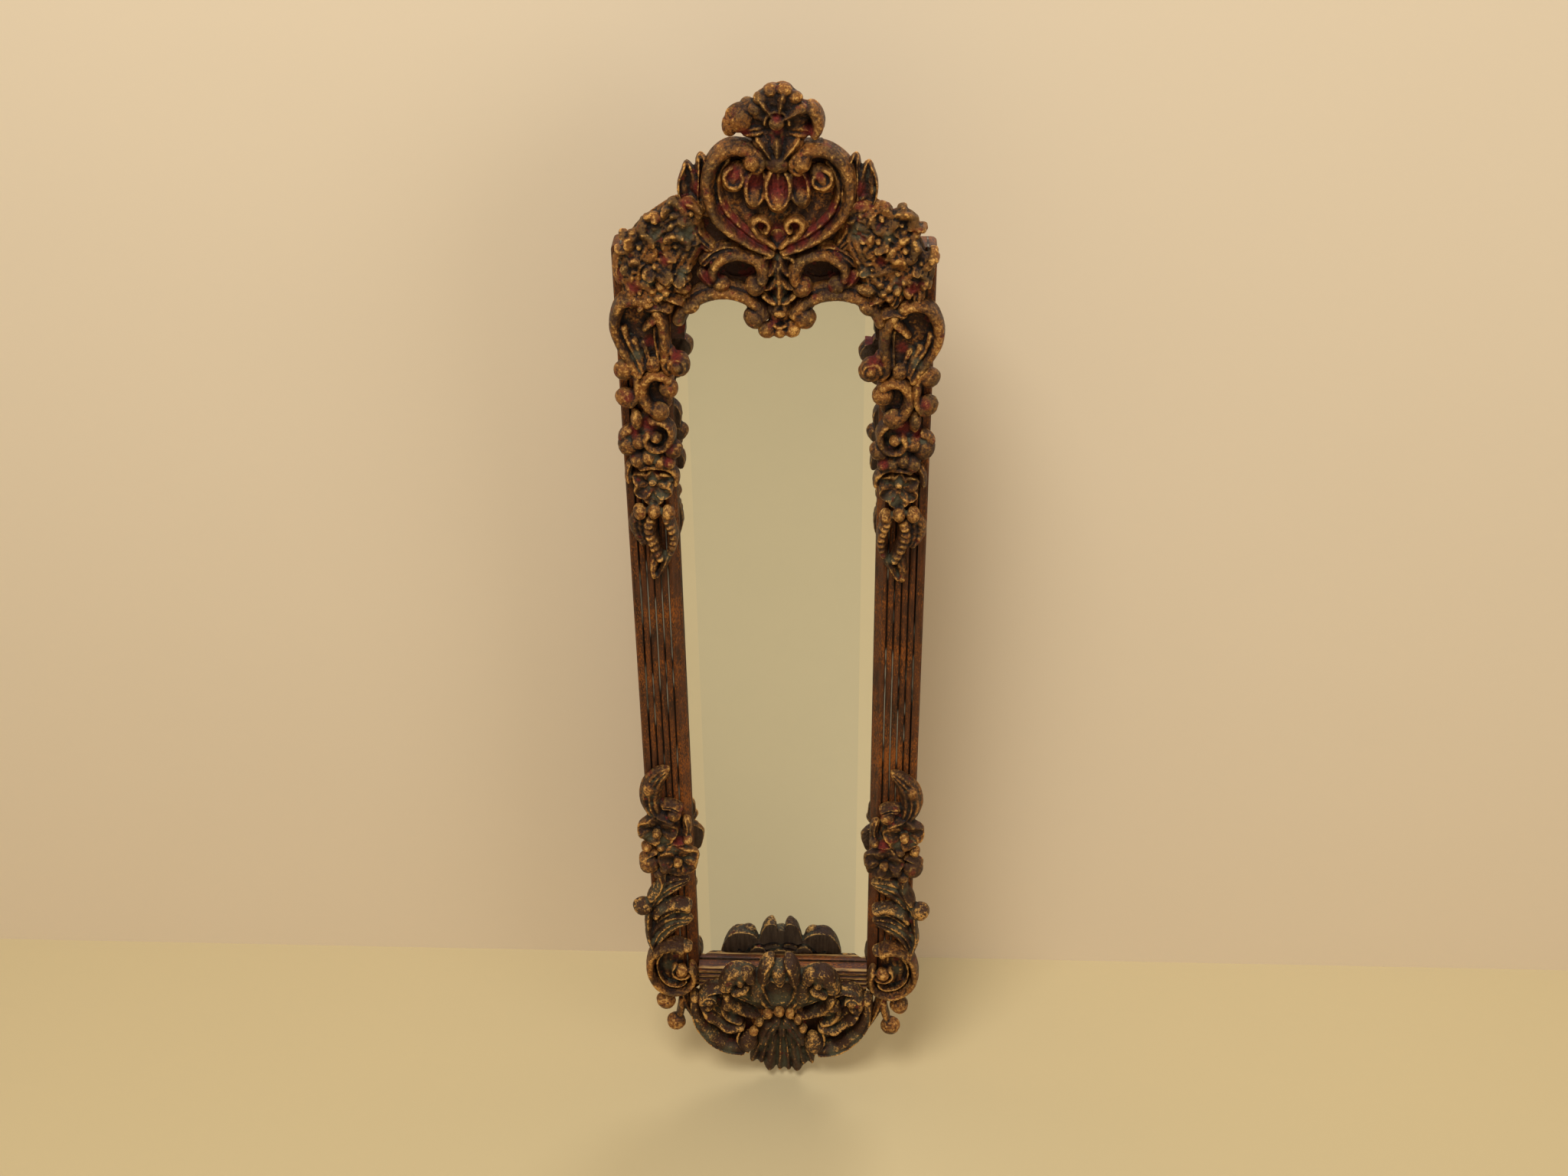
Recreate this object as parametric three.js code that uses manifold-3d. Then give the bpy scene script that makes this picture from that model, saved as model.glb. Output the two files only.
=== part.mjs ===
// Pier mirror: a reeded, gilded frame with carved ornament, a bevelled glass and two hanging rings.
// Millimetres. X runs along the wall, Y into the wall, Z up. The frame's back lies in the plane y = 0,
// and the origin is on the back of the top rail, on the centre line.

import * as THREE from 'three';
import { mergeVertices } from 'three/addons/utils/BufferGeometryUtils.js';
import Module from 'manifold-3d';

const wasm = await Module();
wasm.setup();
const { Manifold, Mesh: ManifoldMesh } = wasm;

// ---------------------------------------------------------------- driving dimensions

const gap = 0.3; // left between pieces that touch

// Frame
const frameWidth = 240;
const frameDepth = 20;
const stileWidth = 40;
const stileTopZ = 28;
const stileCorner = 4;
const railTopZ = 24;
const footZ = -742; // underside of the bottom rail and of the stiles
const bottomRailHeight = 32;
const tenonLength = 12;
const tenonThickness = 5;
const tenonEdge = 2.5; // from the front face to the tenon
const topTenonInset = 4; // from the top rail's upper edge to the tenon
const topTenonHeight = 18;
const bottomTenonInset = 6; // from the bottom rail's edges to the tenon

// Reeding
const reedCount = 4;
const stileReedPitch = 5.75;
const railReedPitch = 5.9;
const stileBand = 6.5;
const railBand = 3.4;
const grooveDepth = 1.8;
const edgeRound = 1.5;

// Glass and what holds it
const sightLip = 9; // thickness of the lip in front of the glass
const rebateWidth = 8;
const glassThickness = 4;
const glassClearance = 1;
const bevelWidth = 19;
const bevelDepth = 1.5;
const backingThickness = 3;
const retainerWidth = 6.5;

// Crest and arches, centred a little to the right of the frame
const crestX = 4;
const valleyWidth = 24; // between the arches, where the pendant hangs
const archMargin = 8; // mean distance from an arch to the sight edge beside it
const archCentreZ = -42;
const beadWidth = 7;
const beadDepth = 13;
const holeInset = 12; // from an arch's centre to the hole above it
const holeWidth = 20;
const holeHeight = 11;
const holeZ = 9;
const railUnderArch = 6; // rail left beside the arches, below their centres
const crestBoardThickness = 14;
const heartPanelThickness = 6;
const dishDepth = 4;

// Foot
const footX = -1.5;
const footBoardThickness = 12;

// Hanging rings
const hangerZ = -100;
const strapWidth = 12;
const strapLength = 32;
const strapThickness = 1.2;
const ringWire = 3;
const ringWidth = 22;
const ringHeight = 20;
const screwHeadRadius = 3.2;
const screwHeadHeight = 1.6;
const screwShankRadius = 1.5;
const screwLength = 12;
const screwSlotWidth = 0.8;
const screwDrop = 26; // from the ring's pivot to the screw
const foldAngle = 235; // degrees the strap is bent round the ring

// Derived places
const outerX = frameWidth / 2;
const stileX = outerX - stileWidth / 2;
const sightX = outerX - stileWidth;
const sightBottomZ = footZ + bottomRailHeight;
const rebateX = sightX + rebateWidth;
const rebateBottomZ = sightBottomZ - rebateWidth;
const rebateTopZ = holeZ - holeHeight / 2 - 2.5;
const rebateDepth = frameDepth - sightLip;
const archRadius = (sightX - archMargin - valleyWidth / 2) / 2;
const archSpacing = archRadius + valleyWidth / 2; // from the crest's centre line to an arch's centre
const holeSpacing = archSpacing - holeInset;

// The ornament is drawn for a frame 240 wide and 20 deep, with stiles 40 wide and its arches centred 66
// below the rail's top, and is stretched to fit any other.
const forward = frameDepth / 20;
const upward = (railTopZ - archCentreZ) / 66;
const acrossFrame = [frameWidth / 240, forward, upward];
const acrossStile = [stileWidth / 40, forward, upward];
const asDrawn = [1, 1, 1];

// ---------------------------------------------------------------- solids

function toManifold(geometry) {
  const plain = geometry.clone();
  plain.deleteAttribute('normal');
  plain.deleteAttribute('uv');
  const merged = mergeVertices(plain, 1e-4);
  const vertProperties = new Float32Array(merged.attributes.position.array);
  const triVerts = new Uint32Array(merged.index.array);
  return new Manifold(new ManifoldMesh({ numProp: 3, vertProperties, triVerts }));
}

function toGeometry(solid) {
  const mesh = solid.getMesh();
  const geometry = new THREE.BufferGeometry();
  geometry.setAttribute('position', new THREE.BufferAttribute(new Float32Array(mesh.vertProperties), 3));
  geometry.setIndex(new THREE.BufferAttribute(new Uint32Array(mesh.triVerts), 1));
  geometry.computeVertexNormals();
  return geometry;
}

const join = (...solids) => Manifold.union(solids.flat());

const cutBy = (solid, ...tools) => tools.flat().reduce((rest, tool) => rest.subtract(tool), solid);

const mirrored = (solid) => solid.mirror([1, 0, 0]);

function box(x0, x1, y0, y1, z0, z1) {
  const geometry = new THREE.BoxGeometry(x1 - x0, y1 - y0, z1 - z0);
  geometry.translate((x0 + x1) / 2, (y0 + y1) / 2, (z0 + z1) / 2);
  return toManifold(geometry);
}

// A cut can leave slivers beside the piece: only the piece itself is kept.
function mainBody(whole) {
  const solid = whole.simplify(0.15);
  const bodies = solid.decompose();
  return bodies.reduce((best, body) => (body.volume() > best.volume() ? body : best));
}

// Closed surface through rings of points, all with as many points, and one pole at each end.
function loft(rings, startPole, endPole) {
  const sides = rings[0].length;
  const points = [startPole, ...rings.flat(), endPole];
  const last = points.length - 1;
  const index = [];
  for (let k = 0; k < sides; k += 1) {
    const next = (k + 1) % sides;
    index.push(0, 1 + next, 1 + k);
    for (let i = 0; i + 1 < rings.length; i += 1) {
      const a = 1 + i * sides;
      const b = a + sides;
      index.push(a + k, a + next, b + k);
      index.push(a + next, b + next, b + k);
    }
    const end = 1 + (rings.length - 1) * sides;
    index.push(last, end + k, end + next);
  }
  const geometry = new THREE.BufferGeometry();
  const positions = new Float32Array(points.flatMap((p) => [p.x, p.y, p.z]));
  geometry.setAttribute('position', new THREE.BufferAttribute(positions, 3));
  geometry.setIndex(index);
  const solid = toManifold(geometry);
  return solid.volume() < 0 ? toManifold(flipped(geometry)) : solid;
}

function flipped(geometry) {
  const copy = geometry.clone();
  const index = Array.from(copy.index.array);
  for (let i = 0; i < index.length; i += 3) {
    [index[i], index[i + 1]] = [index[i + 1], index[i]];
  }
  copy.setIndex(index);
  return copy;
}

function smoothCurve(points, closed) {
  const places = points.map(([x, z]) => new THREE.Vector3(x, 0, z));
  return new THREE.CatmullRomCurve3(places, closed, 'centripetal');
}

const valueAt = (value, t) => (typeof value === 'function' ? value(t) : value);

// Carved strand with a rounded section. Points are [x, z] on the ground it is glued to; height is that of
// its middle above the ground. Width, depth and height are numbers or functions of t from 0 to 1.
function strand(points, { width, depth, height, steps = 6, sides = 5, grow = 0 }) {
  const cornerGrow = grow / Math.cos(Math.PI / sides); // moves the flat faces out by grow
  const curve = smoothCurve(points, false);
  const rings = [];
  const poles = [];
  for (let i = 0; i <= steps; i += 1) {
    const t = i / steps;
    const at = curve.getPoint(t);
    const along = curve.getTangent(t);
    const across = new THREE.Vector3(-along.z, 0, along.x);
    const halfWidth = valueAt(width, t) / 2 + cornerGrow;
    const halfDepth = valueAt(depth, t) / 2 + cornerGrow;
    at.y = -valueAt(height, t);
    const ring = [];
    for (let k = 0; k < sides; k += 1) {
      const angle = 2 * Math.PI * (k / sides - 0.25);
      const point = at.clone().addScaledVector(across, halfWidth * Math.cos(angle));
      point.y += halfDepth * Math.sin(angle);
      ring.push(point);
    }
    rings.push(ring);
    if (i === 0) {
      poles.push(at.clone().addScaledVector(along, -0.5 * halfWidth));
    }
    if (i === steps) {
      poles.push(at.clone().addScaledVector(along, 0.5 * halfWidth));
    }
  }
  return loft(rings, poles[0], poles[1]);
}

// Oval knob centred at [x, z], at a height above the ground.
function knob(x, z, height, radius, { tall = radius, proud = radius, grow = 0 } = {}) {
  const turns = 6;
  const sphere = new THREE.SphereGeometry(1, turns, 3);
  const reach = grow / Math.cos(Math.PI / turns);
  sphere.scale(radius + reach, proud + reach, tall + reach);
  sphere.translate(x, -height, z);
  return toManifold(sphere);
}

// Domed flower with pointed petals.
function flower(x, z, height, radius, { petals = 5, grow = 0, turn = 0 } = {}) {
  const ring = [];
  for (let k = 0; k < petals * 2; k += 1) {
    const angle = turn + (Math.PI * k) / petals;
    const reach = (k % 2 ? 0.78 : 1) * radius + 1.5 * grow;
    const across = reach * Math.cos(angle);
    ring.push(new THREE.Vector3(x + across, -height, z + reach * Math.sin(angle)));
  }
  const back = new THREE.Vector3(x, -height + 0.9 * radius + 1.5 * grow, z);
  const front = new THREE.Vector3(x, -height - 0.45 * radius - 1.5 * grow, z);
  return loft([ring], back, front);
}

// Points of a volute that winds from one radius to another about a centre; angles in degrees.
function volute(centreX, centreZ, startRadius, endRadius, startAngle, endAngle, count = 8) {
  return Array.from({ length: count }, (_, i) => {
    const t = i / (count - 1);
    const angle = THREE.MathUtils.degToRad(startAngle + (endAngle - startAngle) * t);
    const radius = startRadius + (endRadius - startRadius) * t;
    return [centreX + radius * Math.cos(angle), centreZ + radius * Math.sin(angle)];
  });
}

// Board in the XZ plane: an outline of [x, z] points, a back face and a thickness.
function board(outline, backY, thickness) {
  const shape = new THREE.Shape(outline.map(([x, z]) => new THREE.Vector2(x, z)));
  const geometry = new THREE.ExtrudeGeometry(shape, { depth: thickness, bevelEnabled: false });
  geometry.rotateX(Math.PI / 2);
  geometry.translate(0, backY, 0);
  return toManifold(geometry);
}

// The same points on both sides of x = 0, as one closed outline.
function bothSides(half) {
  const otherHalf = half.filter(([x]) => x !== 0).map(([x, z]) => [-x, z]);
  return [...half, ...otherHalf.reverse()];
}

// A smooth closed outline through a few points.
function rounded(points, count) {
  const curve = smoothCurve(points, true);
  return curve.getPoints(count).slice(0, count).map((p) => [p.x, p.z]);
}

// Ornament is drawn on its own ground and glued to the front of the frame.
function glue(solid, x, z, stretch) {
  const onGround = solid.trimByPlane([0, -1, 0], 0);
  return onGround.scale(stretch).translate([x, -frameDepth - gap, z]);
}

// ---------------------------------------------------------------- frame

// Section of a reeded member from its outer edge (0) to its sight edge (width), as [across, below front].
function reededFace(width, band, pitch) {
  const face = [[0, edgeRound], [edgeRound, 0], [band, 0]];
  for (let i = 0; i < reedCount; i += 1) {
    const start = band + i * pitch;
    face.push([start + 0.08 * pitch, grooveDepth]);
    face.push([start + 0.26 * pitch, 0.3 * grooveDepth]);
    face.push([start + 0.54 * pitch, 0]);
    face.push([start + 0.82 * pitch, 0.3 * grooveDepth]);
  }
  const reedsEnd = band + reedCount * pitch;
  const sight = width - reedsEnd;
  face.push([reedsEnd + 0.06 * sight, grooveDepth]);
  face.push([reedsEnd + 0.18 * sight, 0.2 * grooveDepth]);
  face.push([reedsEnd + 0.42 * sight, 0.15 * grooveDepth]);
  face.push([width - 0.8, 0.7 * sightLip]);
  face.push([width, 0.8 * sightLip]);
  return face;
}

const rebateSection = (width) => [
  [width, sightLip],
  [width - rebateWidth, sightLip],
  [width - rebateWidth, frameDepth],
  [0, frameDepth],
];

function extrudeSection(points, length) {
  const shape = new THREE.Shape(points.map(([a, b]) => new THREE.Vector2(a, b)));
  return new THREE.ExtrudeGeometry(shape, { depth: length, bevelEnabled: false });
}

function tenonBox(inset, z0, z1) {
  const front = -frameDepth + tenonEdge - inset;
  const reach = sightX + tenonLength + inset;
  return box(-reach, reach, front, front + tenonThickness + 2 * inset, z0 - inset, z1 + inset);
}

const topTenonZ = [railTopZ - topTenonInset - topTenonHeight, railTopZ - topTenonInset];
const bottomTenonZ = [footZ + bottomTenonInset, footZ + bottomRailHeight - bottomTenonInset];

const screwZ = hangerZ - screwDrop;

function cylinderAlongY(x, z, radius, y0, y1, sides = 8) {
  const cylinder = new THREE.CylinderGeometry(radius, radius, y1 - y0, sides);
  cylinder.translate(x, (y0 + y1) / 2, z);
  return toManifold(cylinder);
}

function stile() {
  const section = [...reededFace(stileWidth, stileBand, stileReedPitch), ...rebateSection(stileWidth)];
  const points = section.map(([across, below]) => [outerX - across, -frameDepth + below]);
  const geometry = extrudeSection(points.reverse(), stileTopZ - footZ);
  geometry.translate(0, 0, footZ);
  let solid = toManifold(geometry);
  // Above and below the glass the stile is full: the rebate is stopped.
  const filled = (z0, z1) => box(sightX, rebateX, -frameDepth + sightLip - 0.01, 0, z0, z1);
  solid = join(solid, filled(rebateTopZ, stileTopZ), filled(footZ, rebateBottomZ));
  const [roundX, roundZ] = [outerX - stileCorner, stileTopZ - stileCorner];
  const corner = cylinderAlongY(roundX, roundZ, stileCorner, -frameDepth, 0, 16);
  const square = box(roundX, outerX + 1, -frameDepth - 1, 1, roundZ, stileTopZ + 1);
  solid = cutBy(solid, cutBy(square, corner.scale([1, 2, 1])));
  const pilot = cylinderAlongY(stileX, screwZ, screwShankRadius + gap, -screwLength - gap, 1);
  return cutBy(solid, tenonBox(gap, ...topTenonZ), tenonBox(gap, ...bottomTenonZ), pilot);
}

function archTool(side, radius) {
  const centre = crestX + side * archSpacing;
  const through = [-2 * frameDepth, frameDepth];
  const round = cylinderAlongY(centre, archCentreZ, radius, ...through, 20);
  const below = box(centre - radius, centre + radius, ...through, 2 * archCentreZ, archCentreZ);
  return join(round, below);
}

function topRail() {
  const halfWidth = sightX - gap;
  const shoulder = archCentreZ - railUnderArch;
  const bar = box(-halfWidth, halfWidth, -frameDepth, 0, shoulder, railTopZ);
  const rebate = box(-rebateX, rebateX, -frameDepth + sightLip, 1, shoulder - 1, rebateTopZ);
  const valley = archCentreZ + 0.7 * archRadius;
  const between = [crestX - archSpacing, crestX + archSpacing];
  const under = box(...between, -2 * frameDepth, frameDepth, shoulder - 1, valley);
  const holes = [-1, 1].map((side) => {
    const oval = cylinderAlongY(0, 0, 1, -2 * frameDepth, frameDepth, 10);
    return oval.scale([holeWidth / 2, 1, holeHeight / 2]).translate([crestX + side * holeSpacing, 0, holeZ]);
  });
  const shaped = cutBy(bar, rebate, under, archTool(-1, archRadius), archTool(1, archRadius), holes);
  return join(shaped, tenonBox(0, ...topTenonZ));
}

function bottomRail() {
  const face = reededFace(bottomRailHeight, railBand, railReedPitch);
  const section = [...face, ...rebateSection(bottomRailHeight)];
  const points = section.map(([across, below]) => [-frameDepth + below, footZ + across]);
  const geometry = extrudeSection(points, 2 * (sightX - gap));
  geometry.applyMatrix4(new THREE.Matrix4().set(0, 0, 1, -sightX + gap, 1, 0, 0, 0, 0, 1, 0, 0, 0, 0, 0, 1));
  return join(toManifold(geometry), tenonBox(0, ...bottomTenonZ));
}

// ---------------------------------------------------------------- glass and backing

const glassHalfWidth = rebateX - glassClearance;
const glassBottomZ = rebateBottomZ + glassClearance;
const glassTopZ = rebateTopZ - glassClearance;
const glassFrontY = -rebateDepth + gap;
const backingFrontY = glassFrontY + glassThickness + gap;
const retainerFrontY = backingFrontY + backingThickness + gap;
const overrun = 10; // a cutting tool's length past the edge it cuts

function glass() {
  const width = 2 * glassHalfWidth;
  const height = glassTopZ - glassBottomZ;
  const middleZ = (glassTopZ + glassBottomZ) / 2;
  const blank = toManifold(new THREE.BoxGeometry(width, glassThickness, height));
  const bevels = [
    [0, width, height],
    [180, width, height],
    [90, height, width],
    [270, height, width],
  ].map(([turn, across, along]) => {
    const slope = [[0, 0], [-bevelWidth, 0], [0, bevelDepth]];
    const wedge = toManifold(extrudeSection(slope, along + 2 * overrun));
    const seated = wedge.translate([across / 2, -glassThickness / 2, -along / 2 - overrun]);
    return seated.rotate([0, turn, 0]);
  });
  return cutBy(blank, bevels).translate([0, glassFrontY + glassThickness / 2, middleZ]);
}

function backingBoard() {
  const back = backingFrontY + backingThickness;
  return box(-glassHalfWidth, glassHalfWidth, backingFrontY, back, glassBottomZ, glassTopZ);
}

function retainerAcross(z0, z1) {
  return box(-glassHalfWidth, glassHalfWidth, retainerFrontY, 0, z0, z1);
}

function retainerUpright() {
  const low = glassBottomZ + retainerWidth + gap;
  const high = glassTopZ - retainerWidth - gap;
  return box(glassHalfWidth - retainerWidth, glassHalfWidth, retainerFrontY, 0, low, high);
}

// ---------------------------------------------------------------- hanging rings

const knuckleInner = ringWire / 2 + gap;
const knuckleOuter = knuckleInner + strapThickness;
const pivotY = knuckleOuter + gap;

// Strap folded round the straight side of the ring, drawn about the pivot.
function hangerStrap(side) {
  const foldEnd = THREE.MathUtils.degToRad(foldAngle);
  const shape = new THREE.Shape();
  shape.moveTo(-knuckleOuter, -strapLength);
  shape.lineTo(-knuckleOuter, 0);
  shape.absarc(0, 0, knuckleOuter, Math.PI, Math.PI - foldEnd, true);
  shape.absarc(0, 0, knuckleInner, Math.PI - foldEnd, Math.PI, false);
  shape.lineTo(-knuckleInner, -strapLength);
  const bend = { depth: strapWidth, bevelEnabled: false, curveSegments: 6 };
  const strip = new THREE.ExtrudeGeometry(shape, bend);
  strip.applyMatrix4(new THREE.Matrix4().set(0, 0, 1, -strapWidth / 2, 1, 0, 0, 0, 0, 1, 0, 0, 0, 0, 0, 1));
  const placed = toManifold(strip).translate([side * stileX, pivotY, hangerZ]);
  return cutBy(placed, cylinderAlongY(side * stileX, screwZ, screwShankRadius + gap, -1, pivotY));
}

function hangerScrew(side) {
  const x = side * stileX;
  const z = screwZ;
  const seat = gap + strapThickness + gap;
  const crownRadius = 0.55 * screwHeadRadius;
  const cap = toManifold(new THREE.CylinderGeometry(crownRadius, screwHeadRadius, screwHeadHeight, 10));
  const domed = cap.translate([x, seat + screwHeadHeight / 2, z]);
  const slotZ = [z - screwSlotWidth / 2, z + screwSlotWidth / 2];
  const slot = box(x - screwHeadRadius, x + screwHeadRadius, seat + 0.55 * screwHeadHeight, pivotY, ...slotZ);
  const shank = cylinderAlongY(x, z, screwShankRadius, -screwLength, seat + 0.1);
  return cutBy(join(domed, shank), slot);
}

// D-shaped ring, hanging down from its pivot over the strap.
function hangerRing(side) {
  const radius = ringWidth / 2 - ringWire / 2;
  const corner = 0.4 * ringWire;
  const sides = 6;
  const bends = 8;
  const straight = ringHeight - ringWidth / 2;
  const path = [[-radius, -corner], [-radius + corner, 0], [radius - corner, 0], [radius, -corner]];
  for (let i = 0; i <= bends; i += 1) {
    const angle = (Math.PI * i) / bends;
    path.push([radius * Math.cos(angle), -straight - radius * Math.sin(angle)]);
  }
  const count = path.length;
  const positions = [];
  const index = [];
  path.forEach(([x, z], i) => {
    const before = path[(i + count - 1) % count];
    const after = path[(i + 1) % count];
    const along = new THREE.Vector3(after[0] - before[0], 0, after[1] - before[1]).normalize();
    const across = new THREE.Vector3(-along.z, 0, along.x);
    for (let k = 0; k < sides; k += 1) {
      const angle = (2 * Math.PI * k) / sides;
      const reach = (ringWire / 2) * Math.cos(angle);
      positions.push(x + across.x * reach, (ringWire / 2) * Math.sin(angle), z + across.z * reach);
      const next = (k + 1) % sides;
      const a = i * sides;
      const b = ((i + 1) % count) * sides;
      index.push(a + k, b + k, a + next, a + next, b + k, b + next);
    }
  });
  const geometry = new THREE.BufferGeometry();
  geometry.setAttribute('position', new THREE.BufferAttribute(new Float32Array(positions), 3));
  geometry.setIndex(index);
  const solid = toManifold(geometry);
  const outward = solid.volume() < 0 ? toManifold(flipped(geometry)) : solid;
  return outward.translate([side * stileX, pivotY, hangerZ]);
}

// ---------------------------------------------------------------- crest
// Drawn about the middle of the top rail's upper edge; right-hand pieces are mirrored to the left.

const heartOutline = [
  [0, 10], [14, 16], [27, 26], [37.5, 39], [42.3, 53],
  [41, 63], [35.5, 70.5], [28, 74], [20, 68], [9, 65],
];

function crestBoard() {
  const ledge = stileTopZ - railTopZ + gap;
  const half = [
    [0, 110], [9, 107], [13, 94], [20, 82], [31, 82], [41, 74], [47, 62], [49, 48],
    [56, 40], [66, 34], [75, 24], [78, 14],
  ];
  const side = half.map(([x, z]) => [acrossFrame[0] * x, upward * z]);
  side.push([sightX - crestX - gap, ledge], [sightX - crestX - gap, gap]);
  const outline = bothSides(side.reverse()).reverse();
  const solid = board(outline, -frameDepth + crestBoardThickness, crestBoardThickness);
  return solid.translate([crestX, 0, railTopZ]);
}

const heartMiddle = 44;
const dishShare = 0.88; // of the panel's size

function heartPanel(grow = 0) {
  const outline = rounded(bothSides(heartOutline), 24);
  const resized = (factor) => outline.map(([x, z]) => [x * factor, heartMiddle + (z - heartMiddle) * factor]);
  if (grow > 0) {
    return board(resized(1 + grow / heartMiddle), 0, heartPanelThickness + grow);
  }
  const dish = board(resized(dishShare), -heartPanelThickness + dishDepth, dishDepth + 1);
  return cutBy(board(outline, 0, heartPanelThickness), dish);
}

const panelFloor = heartPanelThickness - dishDepth + gap;

function heartScroll(grow = 0) {
  const path = [
    [1, 2], [17, 7], [34, 19], [46, 35], [51, 53],
    [49, 68], [41, 79], [30, 85], [19, 83], [13, 76],
  ];
  const rim = strand(path, {
    width: (t) => 5.5 + 5 * Math.min(1, 1.7 * t),
    depth: 14,
    height: 7,
    steps: 12,
    grow,
  });
  const eye = knob(17.5, 73, 9, 6.5, { grow });
  return join(rim, eye).trimByPlane([1, 0, 0], gap / 2 - grow);
}

function palmette(grow = 0) {
  const cup = (x, z, lean, halfWidth, halfLength) => {
    const outer = knob(0, 0, 0, halfWidth, { tall: halfLength, proud: 8, grow });
    return outer.rotate([0, lean, 0]).translate([x, -panelFloor - 4, z]);
  };
  const petals = [cup(0, 50, 0, 10, 14), cup(17, 50, -8, 8, 13.5), cup(-17, 50, 8, 8, 13.5)];
  const buds = [cup(32, 60, 32, 7.5, 13), cup(-32, 60, -32, 7.5, 13)];
  const bar = strand([[-30, 62], [-16, 58], [0, 59], [16, 58], [30, 62]], {
    width: 5,
    depth: 4,
    height: panelFloor + 2,
    steps: 3,
    grow,
  });
  return join(petals, buds, bar).trimByPlane([0, -1, 0], panelFloor);
}

function hornCurls(grow = 0) {
  const horn = strand([[0, 9], [7, 15], ...volute(11, 26, 7, 6.5, -60, 230, 9)], {
    width: 4.2,
    depth: 7,
    height: panelFloor + 3,
    steps: 9,
    grow,
  });
  return join(horn, mirrored(horn)).trimByPlane([0, -1, 0], panelFloor);
}

function finial(grow = 0) {
  const baseZ = 100;
  const fan = [-68, -34, 0, 34, 68].map((lean) => {
    const angle = THREE.MathUtils.degToRad(lean);
    const at = (reach) => [reach * Math.sin(angle), baseZ + reach * Math.cos(angle)];
    return strand([at(2), at(15), at(27)], {
      width: (t) => 9 + 7 * t,
      depth: (t) => 11 - 3 * t,
      height: (t) => 5 + 6 * Math.sin(2.6 * t),
      steps: 2,
      grow,
    });
  });
  const body = knob(0, baseZ + 4, 6, 15, { proud: 7, grow });
  const boss = knob(0, baseZ + 7, 12, 4.5, { grow });
  const curlLeft = knob(-26, 104, 9, 8.5, { tall: 9.5, grow });
  const curlRight = knob(27, 102, 8, 8, { tall: 9.5, grow });
  const neck = strand([[0, 104], [0, 90], [0, 74]], {
    width: (t) => 24 - 16 * t,
    depth: 12,
    height: 8,
    steps: 2,
    grow,
  });
  const collars = [-1, 1].map((side) =>
    strand([[0, 86], [side * 9, 91], [side * 17, 97]], { width: 10, depth: 10, height: 7, steps: 2, grow }));
  return join(fan, body, boss, curlLeft, curlRight, neck, collars);
}

function crestLeaf(grow = 0) {
  const tips = [[[50, 56], [54, 68], [56, 79]], [[56, 48], [64, 58], [66, 74]]];
  const blades = tips.map((path) =>
    strand(path, { width: (t) => 12 - 9 * t * t, depth: 8, height: 3.5, steps: 3, grow }));
  const body = strand([[54, 42], [60, 52], [61, 62]], { width: 15, depth: 8, height: 3, steps: 2, grow });
  return join(blades, body);
}

function flowerSpray(grow = 0) {
  const blooms = [
    [58, 32, 9], [72, 32, 10], [89, 25, 10], [72, 15, 9.5],
    [90, 7, 10.5], [103, -2, 8.5], [86, -12, 10], [68, -27, 6],
  ];
  const flowers = blooms.map(([x, z, radius], i) =>
    flower(x, z, 8 + 2 * (i % 3), radius, { grow, turn: 0.4 * i }));
  const bed = strand([[57, 33], [72, 28], [86, 12], [92, -4], [96, -16]], {
    width: 22,
    depth: 16,
    height: 4,
    steps: 4,
    sides: 4,
    grow,
  });
  const trail = strand([[88, -6], [78, -18], [68, -27]], { width: 10, depth: 10, height: 4, steps: 2, grow });
  return join(flowers, bed, trail);
}

function archScroll(grow = 0) {
  const path = [[16, -23], [13, -13], [18, -4], [30, 0.5], [42, -3], [47.5, -11], [46, -18]];
  const band = strand(path, { width: 7, depth: 15, height: 7, steps: 7, grow });
  const inner = knob(17, -24, 8, 6.5, { grow });
  const outer = knob(42.5, -22, 8, 5, { grow });
  return join(band, inner, outer);
}

function centreClasp(grow = 0) {
  const stem = strand([[0, 0], [0, -16], [0, -32]], {
    width: (t) => 15 - 9 * t,
    depth: 12,
    height: 8,
    steps: 2,
    grow,
  });
  const knobs = [-1, 1].map((side) => knob(side * 7, -7, 9, 4.8, { grow }));
  const leaves = [-1, 1].map((side) =>
    strand([[0, -30], [side * 6, -23], [side * 10, -14]], {
      width: 5.5,
      depth: 9,
      height: 7,
      steps: 2,
      grow,
    }));
  return join(stem, knobs, leaves);
}

function pendant(grow = 0) {
  const body = strand([[0, -38], [0, -48], [0, -56]], { width: 22, depth: 14, height: 8, steps: 2, grow });
  const places = [[-8.5, -60, 6.5], [0, -62, 5.5], [8.5, -60, 6.5]];
  const lobes = places.map(([x, z, radius]) => knob(x, z, 9, radius, { grow }));
  const pearl = knob(0, -46, 15, 4, { grow });
  return join(body, lobes, pearl);
}

const archLocalZ = archCentreZ - railTopZ;

function archBead(grow = 0) {
  const radius = archRadius + beadWidth / 2;
  const bead = strand(volute(archSpacing, archLocalZ, radius, radius, 152, 24, 8), {
    width: beadWidth,
    depth: beadDepth,
    height: 0.3 * beadDepth,
    steps: 7,
    grow,
  });
  const endX = archSpacing - 0.78 * archRadius;
  const endZ = archLocalZ + 0.52 * archRadius;
  const endSize = { proud: 0.68 * beadDepth, grow };
  const end = knob(endX, endZ, 0.54 * beadDepth, 0.29 * archRadius, endSize);
  return join(bead, end);
}

// ---------------------------------------------------------------- upper stiles
// Drawn about the stile's centre line at its top, for the right stile.

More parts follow.
